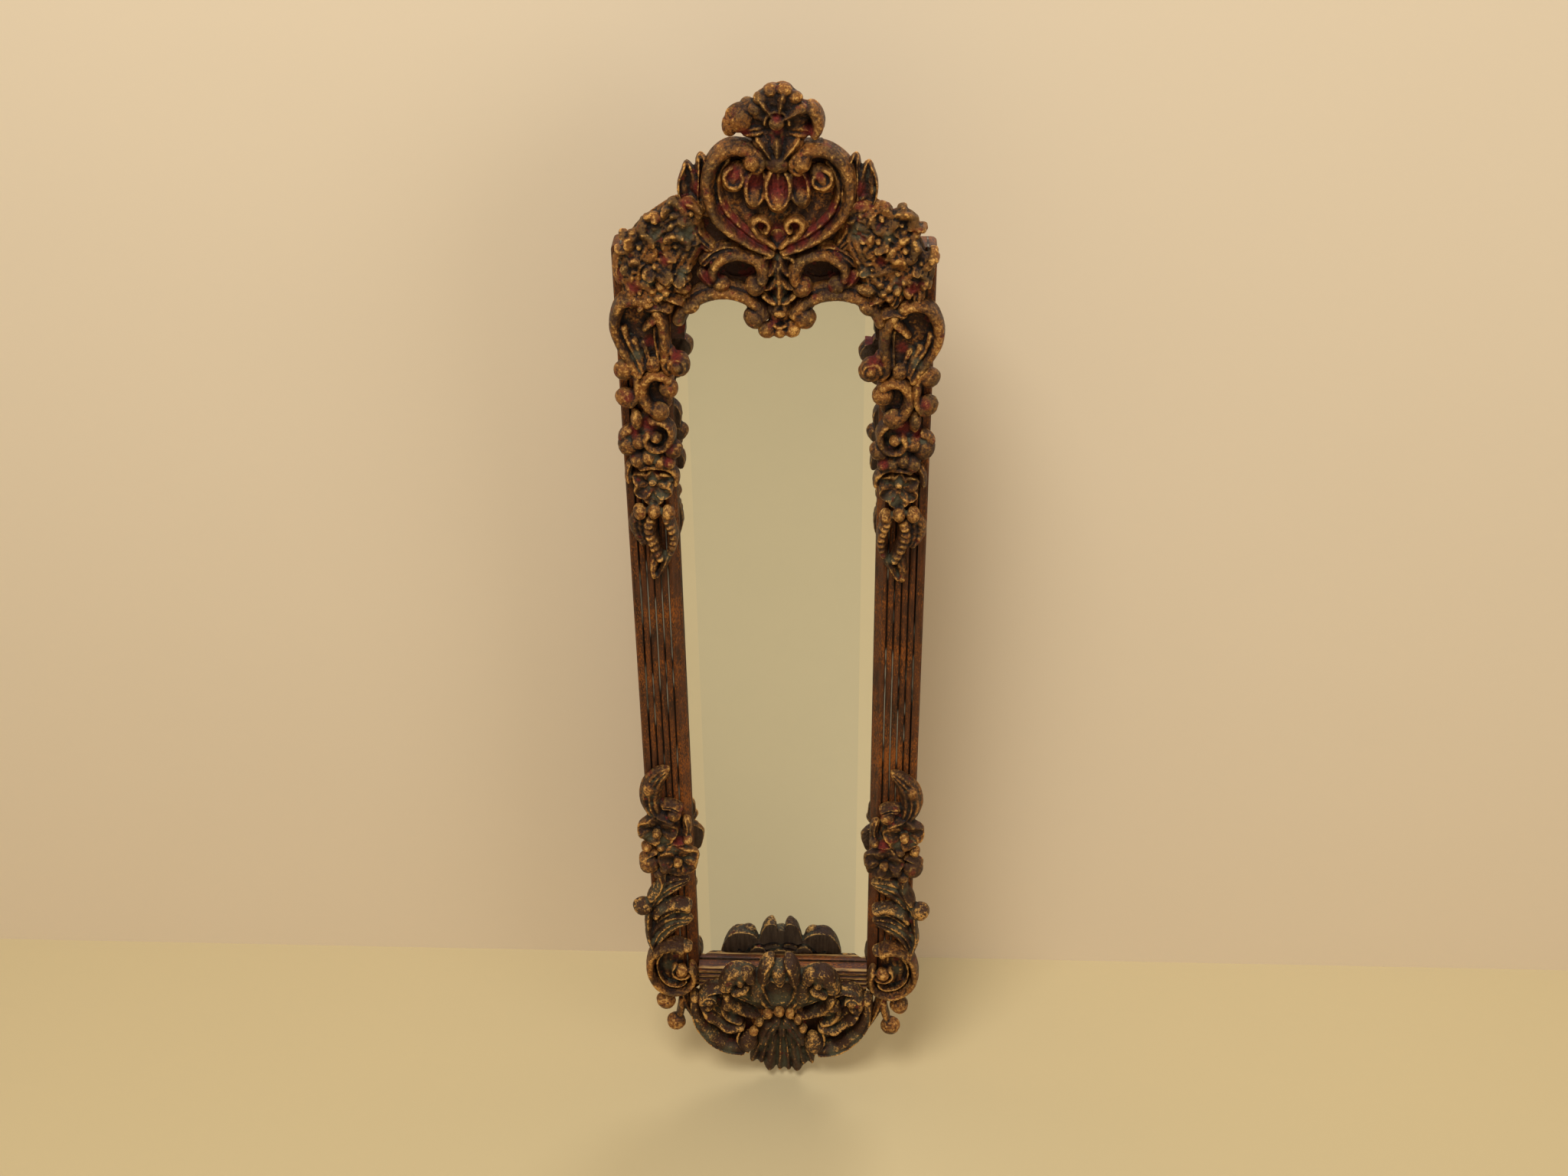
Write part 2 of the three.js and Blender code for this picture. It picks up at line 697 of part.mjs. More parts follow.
function husk(grow = 0) {
  const outerBand = strand([[-3, -44], [10, -43], [20, -51], [23, -65], [19, -80], [11, -94], [4, -105]], {
    width: (t) => 9 - 4 * t,
    depth: 13,
    height: 6,
    steps: 6,
    grow,
  });
  const ridge = strand([[4, -104], [-2, -90], [0, -76], [9, -64]], {
    width: 5,
    depth: 10,
    height: 4,
    steps: 2,
    grow,
  });
  const crown = strand([[-14, -50], [-3, -44], [8, -52]], { width: 9, depth: 13, height: 6, steps: 2, grow });
  const tongue = strand([[-1, -50], [1, -58], [3, -66]], { width: 7, depth: 9, height: 4, steps: 2, grow });
  return join(outerBand, ridge, crown, tongue);
}

function innerStem(grow = 0) {
  const stem = strand([[-10, -50], [-15, -62], [-16, -74], [-16, -86], [-16, -98], [-22, -106]], {
    width: 9,
    depth: 15,
    height: 6,
    steps: 5,
    grow,
  });
  const eye = knob(-27.5, -97, 9, 9.5, { grow });
  return join(stem, eye);
}

function outerCurl(grow = 0) {
  const hook = strand([[17, -101], [10, -106], [8, -114], [11, -122], [17, -126]], {
    width: 7,
    depth: 12,
    height: 6,
    steps: 5,
    grow,
  });
  return join(hook, knob(18, -101, 8, 8.5, { grow }), knob(18, -126, 8, 8, { grow }));
}

function innerCurl(grow = 0) {
  const hook = strand([[-18, -116], [-10, -110], [-1, -113], [2, -124], [-2, -135], [-9, -139]], {
    width: 7.5,
    depth: 13,
    height: 7,
    steps: 6,
    grow,
  });
  return join(hook, knob(-18, -118, 8, 7.5, { grow }), knob(-9.5, -138, 8, 7.5, { grow }));
}

function stileDrop(grow = 0) {
  const bud = knob(7, -141, 6, 4.2, { tall: 9, grow });
  const ring = strand(volute(-9, -158, 11, 7, 60, 330, 7), {
    width: 6,
    depth: 12,
    height: 6,
    steps: 5,
    grow,
  });
  const places = [[-7, -158, 8, 5], [6, -160, 8, 5.5], [16, -165, 6, 8.5], [-21, -165, 5, 7]];
  const knobs = places.map(([x, z, height, radius]) => knob(x, z, height, radius, { grow }));
  const mass = strand([[7, -146], [2, -168], [-1, -198], [0, -228]], {
    width: 27,
    depth: 12,
    height: 3,
    steps: 3,
    grow,
  });
  const pansy = flower(-1, -199, 5, 17, { grow, turn: 0.3 });
  const berries = [[-12, -225], [-1, -223], [11, -222]].map(([x, z]) => knob(x, z, 5, 4.8, { grow }));
  const leafWidth = (t) => 5 + 9 * Math.sin(Math.PI * Math.min(1, t + 0.15));
  const veins = [
    [[-8, -215], [-12, -235], [-12, -254]],
    [[6, -215], [9, -238], [10, -258]],
    [[0, -222], [0, -250], [-3, -280]],
  ];
  const leaves = veins.map((path) => strand(path, { width: leafWidth, depth: 9, height: 2, steps: 2, grow }));
  return join(bud, ring, knobs, mass, pansy, berries, leaves);
}

// ---------------------------------------------------------------- lower stiles
// Drawn about the stile's centre line at its foot, for the right stile.

function garland(grow = 0) {
  const curl = strand([[-4, 276], [8, 264], [16, 250], [14, 236], [2, 226]], {
    width: (t) => 7 + 8 * t,
    depth: 10,
    height: 3,
    steps: 4,
    grow,
  });
  const bump = knob(17, 254, 4, 6, { tall: 8, grow });
  const bed = strand([[4, 232], [6, 206], [-2, 182], [2, 158]], {
    width: 30,
    depth: 14,
    height: 2,
    steps: 2,
    grow,
  });
  const blooms = [[11, 207, 8, 15], [-9, 177, 8, 16], [-6, 228, 5, 10]];
  const flowers = blooms.map(([x, z, height, radius], i) =>
    flower(x, z, height, radius, { grow, turn: 0.5 * i }));
  const bud = knob(20, 168, 6, 8, { tall: 9, grow });
  return join(curl, bump, bed, flowers, bud);
}

function twistedLeaf(grow = 0) {
  const stem = strand([[8, 154], [13, 138], [16, 122], [25, 114]], {
    width: 8,
    depth: 11,
    height: 5,
    steps: 3,
    grow,
  });
  const knot = knob(27.5, 114, 6, 8.8, { grow });
  const bands = [[147, 119], [128, 100], [109, 84], [92, 70]].map(([high, low]) =>
    strand([[-15, high], [0, high - 8], [17, low]], { width: 13, depth: 10, height: 3, steps: 2, grow }));
  const side = strand([[20, 116], [22, 98], [21, 80], [18, 64]], {
    width: 8,
    depth: 10,
    height: 4,
    steps: 2,
    grow,
  });
  return join(stem, knot, bands, side);
}

function sideScroll(grow = 0) {
  const path = [[-8, 64], [4, 68], [16, 60], [23, 46], [24, 30], [17, 15], [4, 8], [-8, 11], [-15, 21]];
  const rim = strand(path, { width: 8, depth: 18, height: 8, steps: 8, grow });
  const dish = strand([[2, 58], [5, 38], [2, 16]], { width: 34, depth: 10, height: 0, steps: 3, grow });
  const coil = strand(volute(-6, 36, 11, 8, 200, 480, 7), { width: 6, depth: 14, height: 6, steps: 5, grow });
  const eye = knob(-5, 37, 10, 7, { grow });
  return join(rim, dish, coil, eye);
}

function cornerVolute(grow = 0) {
  const stem = strand([[-3, 12], [-6, -6], [-13, -28], [-22, -46]], {
    width: (t) => 12 - 7 * t,
    depth: 11,
    height: 4,
    steps: 3,
    grow,
  });
  const arms = [[[-4, 2], [4, 0], [10, -5]], [[-9, -16], [-4, -26], [2, -34]]].map((path) =>
    strand(path, { width: 8, depth: 10, height: 5, steps: 2, grow }));
  return join(stem, arms, knob(11, -6, 7, 9.3, { grow }), knob(3, -35, 7, 9.3, { grow }));
}

// ---------------------------------------------------------------- foot
// Drawn about the middle of the bottom rail's underside; right-hand pieces are mirrored to the left.

function footBoard() {
  const half = [[0, -78], [20, -76], [34, -68], [52, -60], [66, -46], [75, -26], [78, 0]];
  const side = half.map(([x, z]) => [acrossFrame[0] * x, upward * z - gap]);
  const outline = bothSides(side).reverse();
  return board(outline, -frameDepth + footBoardThickness, footBoardThickness).translate([footX, 0, footZ]);
}

function swag(grow = 0) {
  const rim = strand([[82, 4], [83, -18], [77, -42], [64, -60], [48, -69], [33, -69]], {
    width: 8,
    depth: 17,
    height: 8,
    steps: 6,
    grow,
  });
  const hollow = strand([[73, 0], [71, -24], [60, -44], [42, -56]], {
    width: 24,
    depth: 10,
    height: 0,
    steps: 3,
    grow,
  });
  const end = knob(30, -58, 12, 8.5, { tall: 13, grow });
  return join(rim, hollow, end);
}

function ruffledLeaf(grow = 0) {
  const rim = strand([[70, 4], [62, -6], [57, -20], [50, -34], [38, -39], [27, -31]], {
    width: 8,
    depth: 18,
    height: 10,
    steps: 6,
    grow,
  });
  const cup = strand([[58, 2], [48, -12], [36, -24]], { width: 26, depth: 10, height: 2, steps: 2, grow });
  const knobs = [[69, 2, 12, 6.5], [53, -6, 14, 6]].map(([x, z, height, radius]) =>
    knob(x, z, height, radius, { grow }));
  return join(rim, cup, knobs);
}

const shellBaseZ = -18;
const shellLipRise = 27;

function shell(grow = 0) {
  const lobes = [
    [[0, shellBaseZ], [0, 10], [0, 38], [0, 60]],
    [[5, shellBaseZ], [14, 8], [25, 34], [30, 52]],
    [[9, shellBaseZ], [28, 0], [43, 20], [45, 39]],
  ];
  const flute = (path) =>
    strand(path, {
      width: (t) => 9 + 11 * t,
      depth: (t) => 13 - 2 * t,
      height: (t) => 4 + (shellLipRise - 6) * t * t,
      steps: 3,
      grow,
    });
  const lip = (path) => {
    const [x1, z1] = path[path.length - 1];
    const [x0, z0] = path[path.length - 2];
    const length = Math.hypot(x1 - x0, z1 - z0);
    const across = [(-8 * (z1 - z0)) / length, (8 * (x1 - x0)) / length];
    const ends = [[x1 - across[0], z1 - across[1]], [x1, z1 + 2], [x1 + across[0], z1 + across[1]]];
    return strand(ends, { width: 9, depth: 11, height: shellLipRise, steps: 2, grow });
  };
  const rightLobes = lobes.slice(1);
  const half = join(rightLobes.map(flute), rightLobes.map(lip));
  return join(half, mirrored(half), flute(lobes[0]), lip(lobes[0]));
}

function berries(grow = 0) {
  const places = [[-26, -37], [-21, -24], [-13, -13], [-2, -9.5], [9, -12], [17, -20], [22, -32]];
  const beads = places.map(([x, z]) => knob(x, z, 16, 4.6, { grow }));
  const bed = strand(places, { width: 6, depth: 18, height: 4.5, steps: 6, sides: 4, grow });
  return join(beads, bed);
}

function tailLeaf(grow = 0) {
  const flutes = [[-29, -94], [-20, -100], [-7.5, -102], [6, -102], [17, -99], [27, -93]];
  const pleats = flutes.map(([x, z]) =>
    strand([[0.25 * x, -48], [0.6 * x, -70], [x, z]], {
      width: (t) => 7 + 6 * t,
      depth: 12,
      height: 5,
      steps: 2,
      grow,
    }));
  const wings = [-1, 1].map((side) =>
    strand([[side * 2, -26], [side * 9, -42], [side * 16, -58]], {
      width: (t) => 7 + 5 * t,
      depth: 14,
      height: 10,
      steps: 2,
      grow,
    }));
  const core = strand([[0, -24], [0, -44], [0, -62]], { width: 12, depth: 16, height: 8, steps: 2, grow });
  return join(pleats, wings, core);
}

// ---------------------------------------------------------------- seating
// Where two ornaments meet, the one beneath is cut back from the other, grown by the gap.

function centrePiece(draw, x, z, stretch = acrossFrame) {
  return { solid: glue(draw(0), x, z, stretch), tool: glue(draw(gap), x, z, stretch) };
}

// The right-hand piece and its mirror image about the plane x = centre.
function sidePair(draw, x, z, stretch, centre) {
  const right = centrePiece(draw, x, z, stretch);
  const about = (solid) => mirrored(solid.translate([-centre, 0, 0])).translate([centre, 0, 0]);
  return { right, left: { solid: about(right.solid), tool: about(right.tool) } };
}

const crestPlace = [crestX, railTopZ];
const footPlace = [footX, footZ];
const crestPair = (draw) => sidePair(draw, ...crestPlace, acrossFrame, crestX);
const upperPair = (draw) => sidePair(draw, stileX, stileTopZ, acrossStile, 0);
const lowerPair = (draw) => sidePair(draw, stileX, footZ, acrossStile, 0);
const footPair = (draw) => sidePair(draw, ...footPlace, acrossFrame, footX);

const heartScrolls = crestPair(heartScroll);
const panelPiece = centrePiece(heartPanel, ...crestPlace);
const palmettePiece = centrePiece(palmette, ...crestPlace);
const hornPiece = centrePiece(hornCurls, ...crestPlace);
const finialPiece = centrePiece(finial, ...crestPlace);
const crestLeaves = crestPair(crestLeaf);
const sprays = crestPair(flowerSpray);
const archScrolls = crestPair(archScroll);
const claspPiece = centrePiece(centreClasp, ...crestPlace);
const pendantPiece = centrePiece(pendant, ...crestPlace);
const archBeads = sidePair(archBead, ...crestPlace, asDrawn, crestX);
const husks = upperPair(husk);
const stems = upperPair(innerStem);
const outerCurls = upperPair(outerCurl);
const innerCurls = upperPair(innerCurl);
const drops = upperPair(stileDrop);
const garlands = lowerPair(garland);
const twists = lowerPair(twistedLeaf);
const sideScrolls = lowerPair(sideScroll);
const cornerVolutes = lowerPair(cornerVolute);
const swags = footPair(swag);
const ruffles = footPair(ruffledLeaf);
const shellPiece = centrePiece(shell, ...footPlace);
const berryPiece = centrePiece(berries, ...footPlace);
const tailPiece = centrePiece(tailLeaf, ...footPlace);

const seated = (piece, ...over) => mainBody(cutBy(piece.solid, over.map((other) => other.tool)));

const both = (pair, ...pairs) => ({
  left: seated(pair.left, ...pairs.map((other) => other.left ?? other)),
  right: seated(pair.right, ...pairs.map((other) => other.right ?? other)),
});

// ---------------------------------------------------------------- materials

const finish = (color, roughness, metalness) => () =>
  new THREE.MeshStandardMaterial({ color, roughness, metalness });

const patina = finish(0x4a2a1c, 0.5, 0.25);
const gilt = finish(0x9a6528, 0.38, 0.6);
const bole = finish(0x6a241c, 0.6, 0.1);
const verdigris = finish(0x5a5444, 0.6, 0.2);
const mirrorGlass = finish(0xd8dcd4, 0.03, 1);
const bareWood = finish(0x8a6a48, 0.8, 0);
const hardboard = finish(0x7c6650, 0.85, 0);
const steel = finish(0x9a9a98, 0.35, 1);

// ---------------------------------------------------------------- object

const mirror = new THREE.Group();

function add(name, solid, material, parent = mirror) {
  const mesh = new THREE.Mesh(toGeometry(solid), material());
  mesh.name = name;
  parent.add(mesh);
}

function addPair(name, pair, material) {
  add(`${name}_left`, pair.left, material);
  add(`${name}_right`, pair.right, material);
}

const stileSolid = stile();
add('stile_left', mirrored(stileSolid), patina);
add('stile_right', stileSolid, patina);
add('top_rail', topRail(), bole);
add('bottom_rail', bottomRail(), patina);
add('mirror_glass', glass(), mirrorGlass);
add('backing_board', backingBoard(), hardboard);
add('retainer_top', retainerAcross(glassTopZ - retainerWidth, glassTopZ), bareWood);
add('retainer_bottom', retainerAcross(glassBottomZ, glassBottomZ + retainerWidth), bareWood);
addPair('retainer', { left: mirrored(retainerUpright()), right: retainerUpright() }, bareWood);

for (const [sideName, side] of [['left', -1], ['right', 1]]) {
  add(`hanger_strap_${sideName}`, hangerStrap(side), steel);
  add(`hanger_ring_${sideName}`, hangerRing(side), steel);
  add(`hanger_screw_${sideName}`, hangerScrew(side), steel);
}

add('crest_board', crestBoard(), patina);
add('heart_panel', seated(panelPiece, palmettePiece, hornPiece, heartScrolls.left, heartScrolls.right), bole);
addPair('heart_scroll', both(heartScrolls), gilt);
add('heart_palmette', seated(palmettePiece, heartScrolls.left, heartScrolls.right), bole);
add('heart_horns', seated(hornPiece, palmettePiece, heartScrolls.left, heartScrolls.right), gilt);
add('plume_finial', seated(finialPiece, heartScrolls.left, heartScrolls.right), gilt);
addPair('crest_leaf', both(crestLeaves, heartScrolls, panelPiece), verdigris);
addPair('flower_spray', both(sprays, heartScrolls, crestLeaves, archScrolls, archBeads), gilt);
addPair('arch_scroll', both(archScrolls, heartScrolls, claspPiece, archBeads), gilt);
add('centre_clasp', seated(claspPiece, heartScrolls.left, heartScrolls.right), verdigris);
add('arch_pendant', seated(pendantPiece, claspPiece, archBeads.left, archBeads.right), gilt);
addPair('arch_bead', both(archBeads, claspPiece), gilt);
addPair('husk', both(husks, sprays, archBeads), patina);
addPair('inner_stem', both(stems, husks, archBeads, sprays), gilt);
addPair('outer_curl', both(outerCurls, husks), gilt);
addPair('inner_curl', both(innerCurls, husks, stems, outerCurls), gilt);
addPair('stile_drop', both(drops, innerCurls, outerCurls), verdigris);
addPair('garland', both(garlands), verdigris);
addPair('twisted_leaf', both(twists, garlands), patina);
addPair('side_scroll', both(sideScrolls, twists), gilt);
addPair('corner_volute', both(cornerVolutes, sideScrolls), gilt);
add('foot_board', footBoard(), patina);
addPair('swag', both(swags, cornerVolutes, sideScrolls, ruffles, shellPiece), verdigris);
addPair('ruffled_leaf', both(ruffles, shellPiece, sideScrolls, cornerVolutes), gilt);
add('shell', seated(shellPiece), gilt);
add('berries', seated(berryPiece, shellPiece, ruffles.left, ruffles.right), gilt);
add('tail_leaf', seated(tailPiece, berryPiece, shellPiece, swags.left, swags.right), patina);

export default mirror;
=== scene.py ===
# Pier mirror: carved and gilded ornament, reeded frame, bevelled glass and hanging rings.
# The carving is drawn in millimetres: x along the wall, z up, and a height in front of the frame's face.

import math
from itertools import count

import bpy
import numpy as np
from mathutils import Matrix


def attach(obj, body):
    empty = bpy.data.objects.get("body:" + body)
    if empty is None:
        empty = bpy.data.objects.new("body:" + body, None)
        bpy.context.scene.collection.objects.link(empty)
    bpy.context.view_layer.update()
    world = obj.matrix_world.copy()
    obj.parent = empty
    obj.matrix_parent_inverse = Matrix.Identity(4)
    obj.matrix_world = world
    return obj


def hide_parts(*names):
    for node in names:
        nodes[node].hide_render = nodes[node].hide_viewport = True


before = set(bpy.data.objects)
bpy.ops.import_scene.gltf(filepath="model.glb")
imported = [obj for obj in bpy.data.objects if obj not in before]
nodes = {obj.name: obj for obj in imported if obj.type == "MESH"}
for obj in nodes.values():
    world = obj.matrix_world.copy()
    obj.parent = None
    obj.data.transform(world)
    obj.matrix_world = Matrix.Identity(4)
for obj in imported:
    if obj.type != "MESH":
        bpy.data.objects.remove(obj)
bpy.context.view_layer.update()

MM = 0.001
GROUND_Y = -20.3  # the frame's face, at -20, and the glue gap
SUNK = -1.0  # the carving's underside, below its ground
VOXEL = 0.75
SAMPLE = 1.1  # spacing of the sections along a swept piece
CREST_X = 4.0  # middle of the crest
FOOT_X = -1.5  # middle of the foot


def stand(name, data):
    """New object in the scene."""
    obj = bpy.data.objects.new(name, data)
    bpy.context.scene.collection.objects.link(obj)
    return obj


# ---- curves and sections


def value(v, t):
    """Values along a path, from a number, a (start, end) pair for an even taper, or a function of t."""
    if callable(v):
        return v(t)
    start, end = v if isinstance(v, tuple) else (v, v)
    return start + (end - start) * t


def bulge(low, high, start=0.0, run=1.0):
    """Swells by part of a sine arch, from start over run of it."""
    return lambda t: low + high * np.sin(np.pi * np.clip(start + run * t, 0, 1))


def waves(low, high, times):
    """Swells and sinks that many times."""
    return lambda t: low + high * np.sin(2 * np.pi * times * t)


def travelled(points):
    """Distance along the points."""
    return np.concatenate([[0], np.cumsum(np.linalg.norm(np.diff(points, axis=0), axis=1))])


def spline(points):
    """Smooth curve through the points, sampled evenly."""
    p = np.array(points, float)
    s = travelled(p)
    m = np.gradient(p, s, axis=0, edge_order=2)
    at = np.linspace(0, s[-1], max(6, int(s[-1] / SAMPLE) + 1))
    k = np.clip(np.searchsorted(s, at, side="right") - 1, 0, len(p) - 2)
    span = (s[k + 1] - s[k])[:, None]
    f = ((at - s[k]) / (s[k + 1] - s[k]))[:, None]
    return (
        (2 * f**3 - 3 * f**2 + 1) * p[k]
        + (f**3 - 2 * f**2 + f) * span * m[k]
        + (3 * f**2 - 2 * f**3) * p[k + 1]
        + (f**3 - f**2) * span * m[k + 1]
    )


def turned(degrees):
    """Cosine and sine."""
    a = math.radians(degrees)
    return math.cos(a), math.sin(a)


def polar(x, z, r, a):
    """Point at the distance r from (x, z), in the direction a, in radians."""
    return x + r * math.cos(a), z + r * math.sin(a)


def coil(x, z, r0, r1, a0, a1, steps, side=1):
    """Points of a volute about (x, z), from radius r0 to r1 and angle a0 to a1. side -1 mirrors it."""
    radii = np.linspace(r0, r1, steps)
    angles = np.radians(np.linspace(a0, a1, steps))
    return [(x + side * r * math.cos(a), z + r * math.sin(a)) for r, a in zip(radii, angles)]


# A section gives the height across a strip, for u from -1 to 1 across and t from 0 to 1 along.


def pillow(u, t):
    return (1 - np.abs(u) ** 2.6) ** 0.5


def cove(u, t):
    """Raised rims with a hollow between."""
    edge = (1 - np.abs(u) ** 5) ** 0.5
    return edge * (1 - 0.42 * np.cos(np.clip(u / 0.72, -1, 1) * np.pi / 2) ** 2)


def keel(u, t):
    return (1 - np.abs(u) ** 1.6) ** 0.8


def ribbed(ridges, depth=0.2):
    """Rounded section with that many ridges along it."""

    def section(u, t):
        return pillow(u, t) * (1 - depth * (0.5 - 0.5 * np.cos((u + 1) * np.pi * ridges)) ** 0.7)

    return section


def veined(pairs, depth=0.3):
    """Leaf: a groove along the middle and slanting side veins."""

    def section(u, t):
        middle = np.exp(-((u / 0.14) ** 2))
        side = 0.5 - 0.5 * np.cos(2 * np.pi * (pairs * t - 0.9 * np.abs(u)))
        return (1 - np.abs(u) ** 2.2) ** 0.6 * (1 - depth * middle - 0.6 * depth * side * np.abs(u) ** 0.5)

    return section


def rims(depth=0.55):
    """Cupped petal: thin raised edge round a hollow."""

    def section(u, t):
        bowl = np.clip(1 - (np.abs(u) / 0.8) ** 2, 0, 1) * np.clip(6 * t, 0, 1) * np.clip(9 * (1 - t), 0, 1)
        return (1 - np.abs(u) ** 6) ** 0.5 * (1 - depth * bowl)

    return section


class Carving:
    """Closed shells that are fused into one carved piece."""

    def __init__(self):
        self.parts = []

    def add(self, points, faces):
        self.parts.append((np.array(points, float), faces))

    def sweep(self, path, width, rise, section=pillow, base=SUNK, ends=(0.5, 0.5), across=15):
        """Strip along a path. rise is the height of its crest, ends the roundness of its ends."""
        line = spline(path)
        n = len(line)
        t = np.linspace(0, 1, n)
        along = np.gradient(line, axis=0)
        along /= np.linalg.norm(along, axis=1)[:, None] + 1e-9
        normal = np.stack([-along[:, 1], along[:, 0]], 1)
        half = value(width, t) / 2
        top = value(rise, t)
        low = value(base, t)
        length = travelled(line)
        near, far = ends[0] * 2 * half[0], ends[1] * 2 * half[-1]
        for run, reach in ((length, near), (length[-1] - length, far)):
            shape = np.sqrt(np.clip(1 - (1 - np.clip(run / reach, 0.02, 1)) ** 2, 0, 1))
            half = half * shape
            top = low + (top - low) * (0.35 + 0.65 * shape)
        u = np.linspace(-1, 1, across)
        grid_u, grid_t = np.meshgrid(u, t)
        height = low[:, None] + (top - low)[:, None] * np.clip(section(grid_u, grid_t), 0.02, 1.2)
        xz = line[:, None, :] + normal[:, None, :] * (half[:, None] * u)[:, :, None]
        upper = np.stack([xz[..., 0], height, xz[..., 1]], 2)
        inner = np.array([0.8, -0.8])
        under = line[:, None, :] + normal[:, None, :] * (half[:, None] * inner)[:, :, None]
        under = np.stack([under[..., 0], np.repeat(low[:, None], 2, 1), under[..., 1]], 2)
        rings = np.concatenate([upper, under], 1)
        m = across + 2
        faces = []
        for i in range(n - 1):
            for k in range(m):
                a, b = i * m + k, i * m + (k + 1) % m
                faces.append((a, b, b + m, a + m))
        faces.append(tuple(range(m))[::-1])
        faces.append(tuple(range((n - 1) * m, n * m)))
        self.add(rings.reshape(-1, 3), faces)

    def ball(self, x, z, height, radius, proud, tall=None, lean=0, swirl=0.0):
        """Knob with its centre at a height: radius to the sides, proud forwards, tall upwards.
        swirl turns a shallow spiral groove into it."""
        rows, turns = 14, 22
        points = [(0, 1, 0)]
        for i in range(1, rows):
            a = math.pi * i / rows
            for k in range(turns):
                b = 2 * math.pi * k / turns
                r = 1 - swirl * (0.5 + 0.5 * math.cos(b + 5 * a)) * math.sin(a)
                out = r * math.sin(a)
                points.append((out * math.cos(b), r * math.cos(a), out * math.sin(b)))
        points.append((0, -1, 0))
        p = np.array(points) * [radius, proud, tall or radius]
        c, s = turned(lean)
        p = np.stack([p[:, 0] * c + p[:, 2] * s + x, p[:, 1] + height, -p[:, 0] * s + p[:, 2] * c + z], 1)
        faces = [(0, 1 + (k + 1) % turns, 1 + k) for k in range(turns)]
        for i in range(rows - 2):
            for k in range(turns):
                a, b = 1 + i * turns + k, 1 + i * turns + (k + 1) % turns
                faces.append((a, b, b + turns, a + turns))
        last = len(points) - 1
        start = last - turns
        faces += [(last, start + k, start + (k + 1) % turns) for k in range(turns)]
        self.add(p, faces)

    def blossom(self, x, z, height, radius, petals=5, turn=0.0, eye=0.24, cup=0.5, tilt=0.0, ragged=0.0):
        """Open flower: cupped petals round a knobbed eye. ragged makes the petals unlike each other."""
        rng = np.random.RandomState(int(abs(7 * x + 131 * z)) % 9973)
        for k in range(petals):
            a = turn + 2 * math.pi * k / petals + ragged * rng.uniform(-0.5, 0.5)
            far = 1 + ragged * rng.uniform(-0.6, 0.5)
            lift = ragged * rng.uniform(-0.5, 0.9)
            breadth = 2.1 * radius * math.sin(math.pi / petals) * (1 + ragged * rng.uniform(-0.6, 0.5))
            self.sweep(
                [polar(x, z, r * far * radius, a) for r in (0.12, 0.5, 1.0)],
                bulge(0.45 * breadth, 0.62 * breadth, 0.15, 0.75),
                lambda t: height + radius * (0.08 + (0.42 + tilt * math.sin(a) + lift) * t - 0.25 * t**2),
                rims(cup),
                base=(height - 0.55 * radius, height - 0.35 * radius),
                ends=(0.3, 0.5),
                across=13,
            )
        self.ball(x, z, height + 0.1 * radius, eye * radius, 0.34 * radius, swirl=0.12)

    def mirrored(self, centre, shift):
        other = Carving()
        for p, faces in self.parts:
            q = p.copy()
            q[:, 0] = 2 * centre - q[:, 0] + shift[0]
            q[:, 2] += shift[1]
            other.add(q, [f[::-1] for f in faces])
        return other


# ---- noise and surface measures


def lattice_noise(p, scale, seed):
    """Smooth noise between -1 and 1 at the points, the same on every run."""
    q = p * scale + 1000.0
    cell = np.floor(q).astype(np.int64)
    f = q - cell
    f = f * f * (3 - 2 * f)
    total = np.zeros(len(p))
    for corner in range(8):
        step = np.array([corner & 1, (corner >> 1) & 1, (corner >> 2) & 1])
        c = cell + step
        h = (c[:, 0] * 73856093) ^ (c[:, 1] * 19349663) ^ (c[:, 2] * 83492791) ^ (seed * 2654435761)
        h = (h ^ (h >> 13)) * 1274126177 & 0xFFFFFFFF
        h = (h ^ (h >> 15)) & 0xFFFFFF
        weight = np.prod(np.where(step, f, 1 - f), axis=1)
        total += weight * (h / 0x7FFFFF - 1)
    return total


def relax(v, edges, times):
    """Positions after that many steps, each halfway to the mean of a point's neighbours."""
    a, b = edges
    n = len(v)
    degree = np.maximum(np.bincount(a, minlength=n) + np.bincount(b, minlength=n), 1)
    for _ in range(times):
        sums = [np.bincount(a, v[b, k], n) + np.bincount(b, v[a, k], n) for k in range(3)]
        v = v + 0.5 * (np.stack(sums, 1) / degree[:, None] - v)
    return v


def move(mesh, v):
    """Sets the mesh's points, in millimetres, and gives their new normals."""
    mesh.vertices.foreach_set("co", (v * MM).astype(np.float32).ravel())
    mesh.update()
    out = np.empty(len(v) * 3, np.float32)
    mesh.vertex_normals.foreach_get("vector", out)
    return out.reshape(-1, 3).astype(float)


def store(mesh, name, data):
    layer = mesh.attributes.new(name, "FLOAT", "POINT")
    layer.data.foreach_set("value", np.ascontiguousarray(data, np.float32))


def spots(v, places):
    """Paint mask: 1 inside each (x, z, radius), fading at its edge."""
    mask = np.zeros(len(v))
    for x, z, radius in places:
        far = np.hypot(v[:, 0] - x, v[:, 2] - z)
        mask = np.maximum(mask, np.clip(1.6 * (1 - far / radius), 0, 1))
    return mask


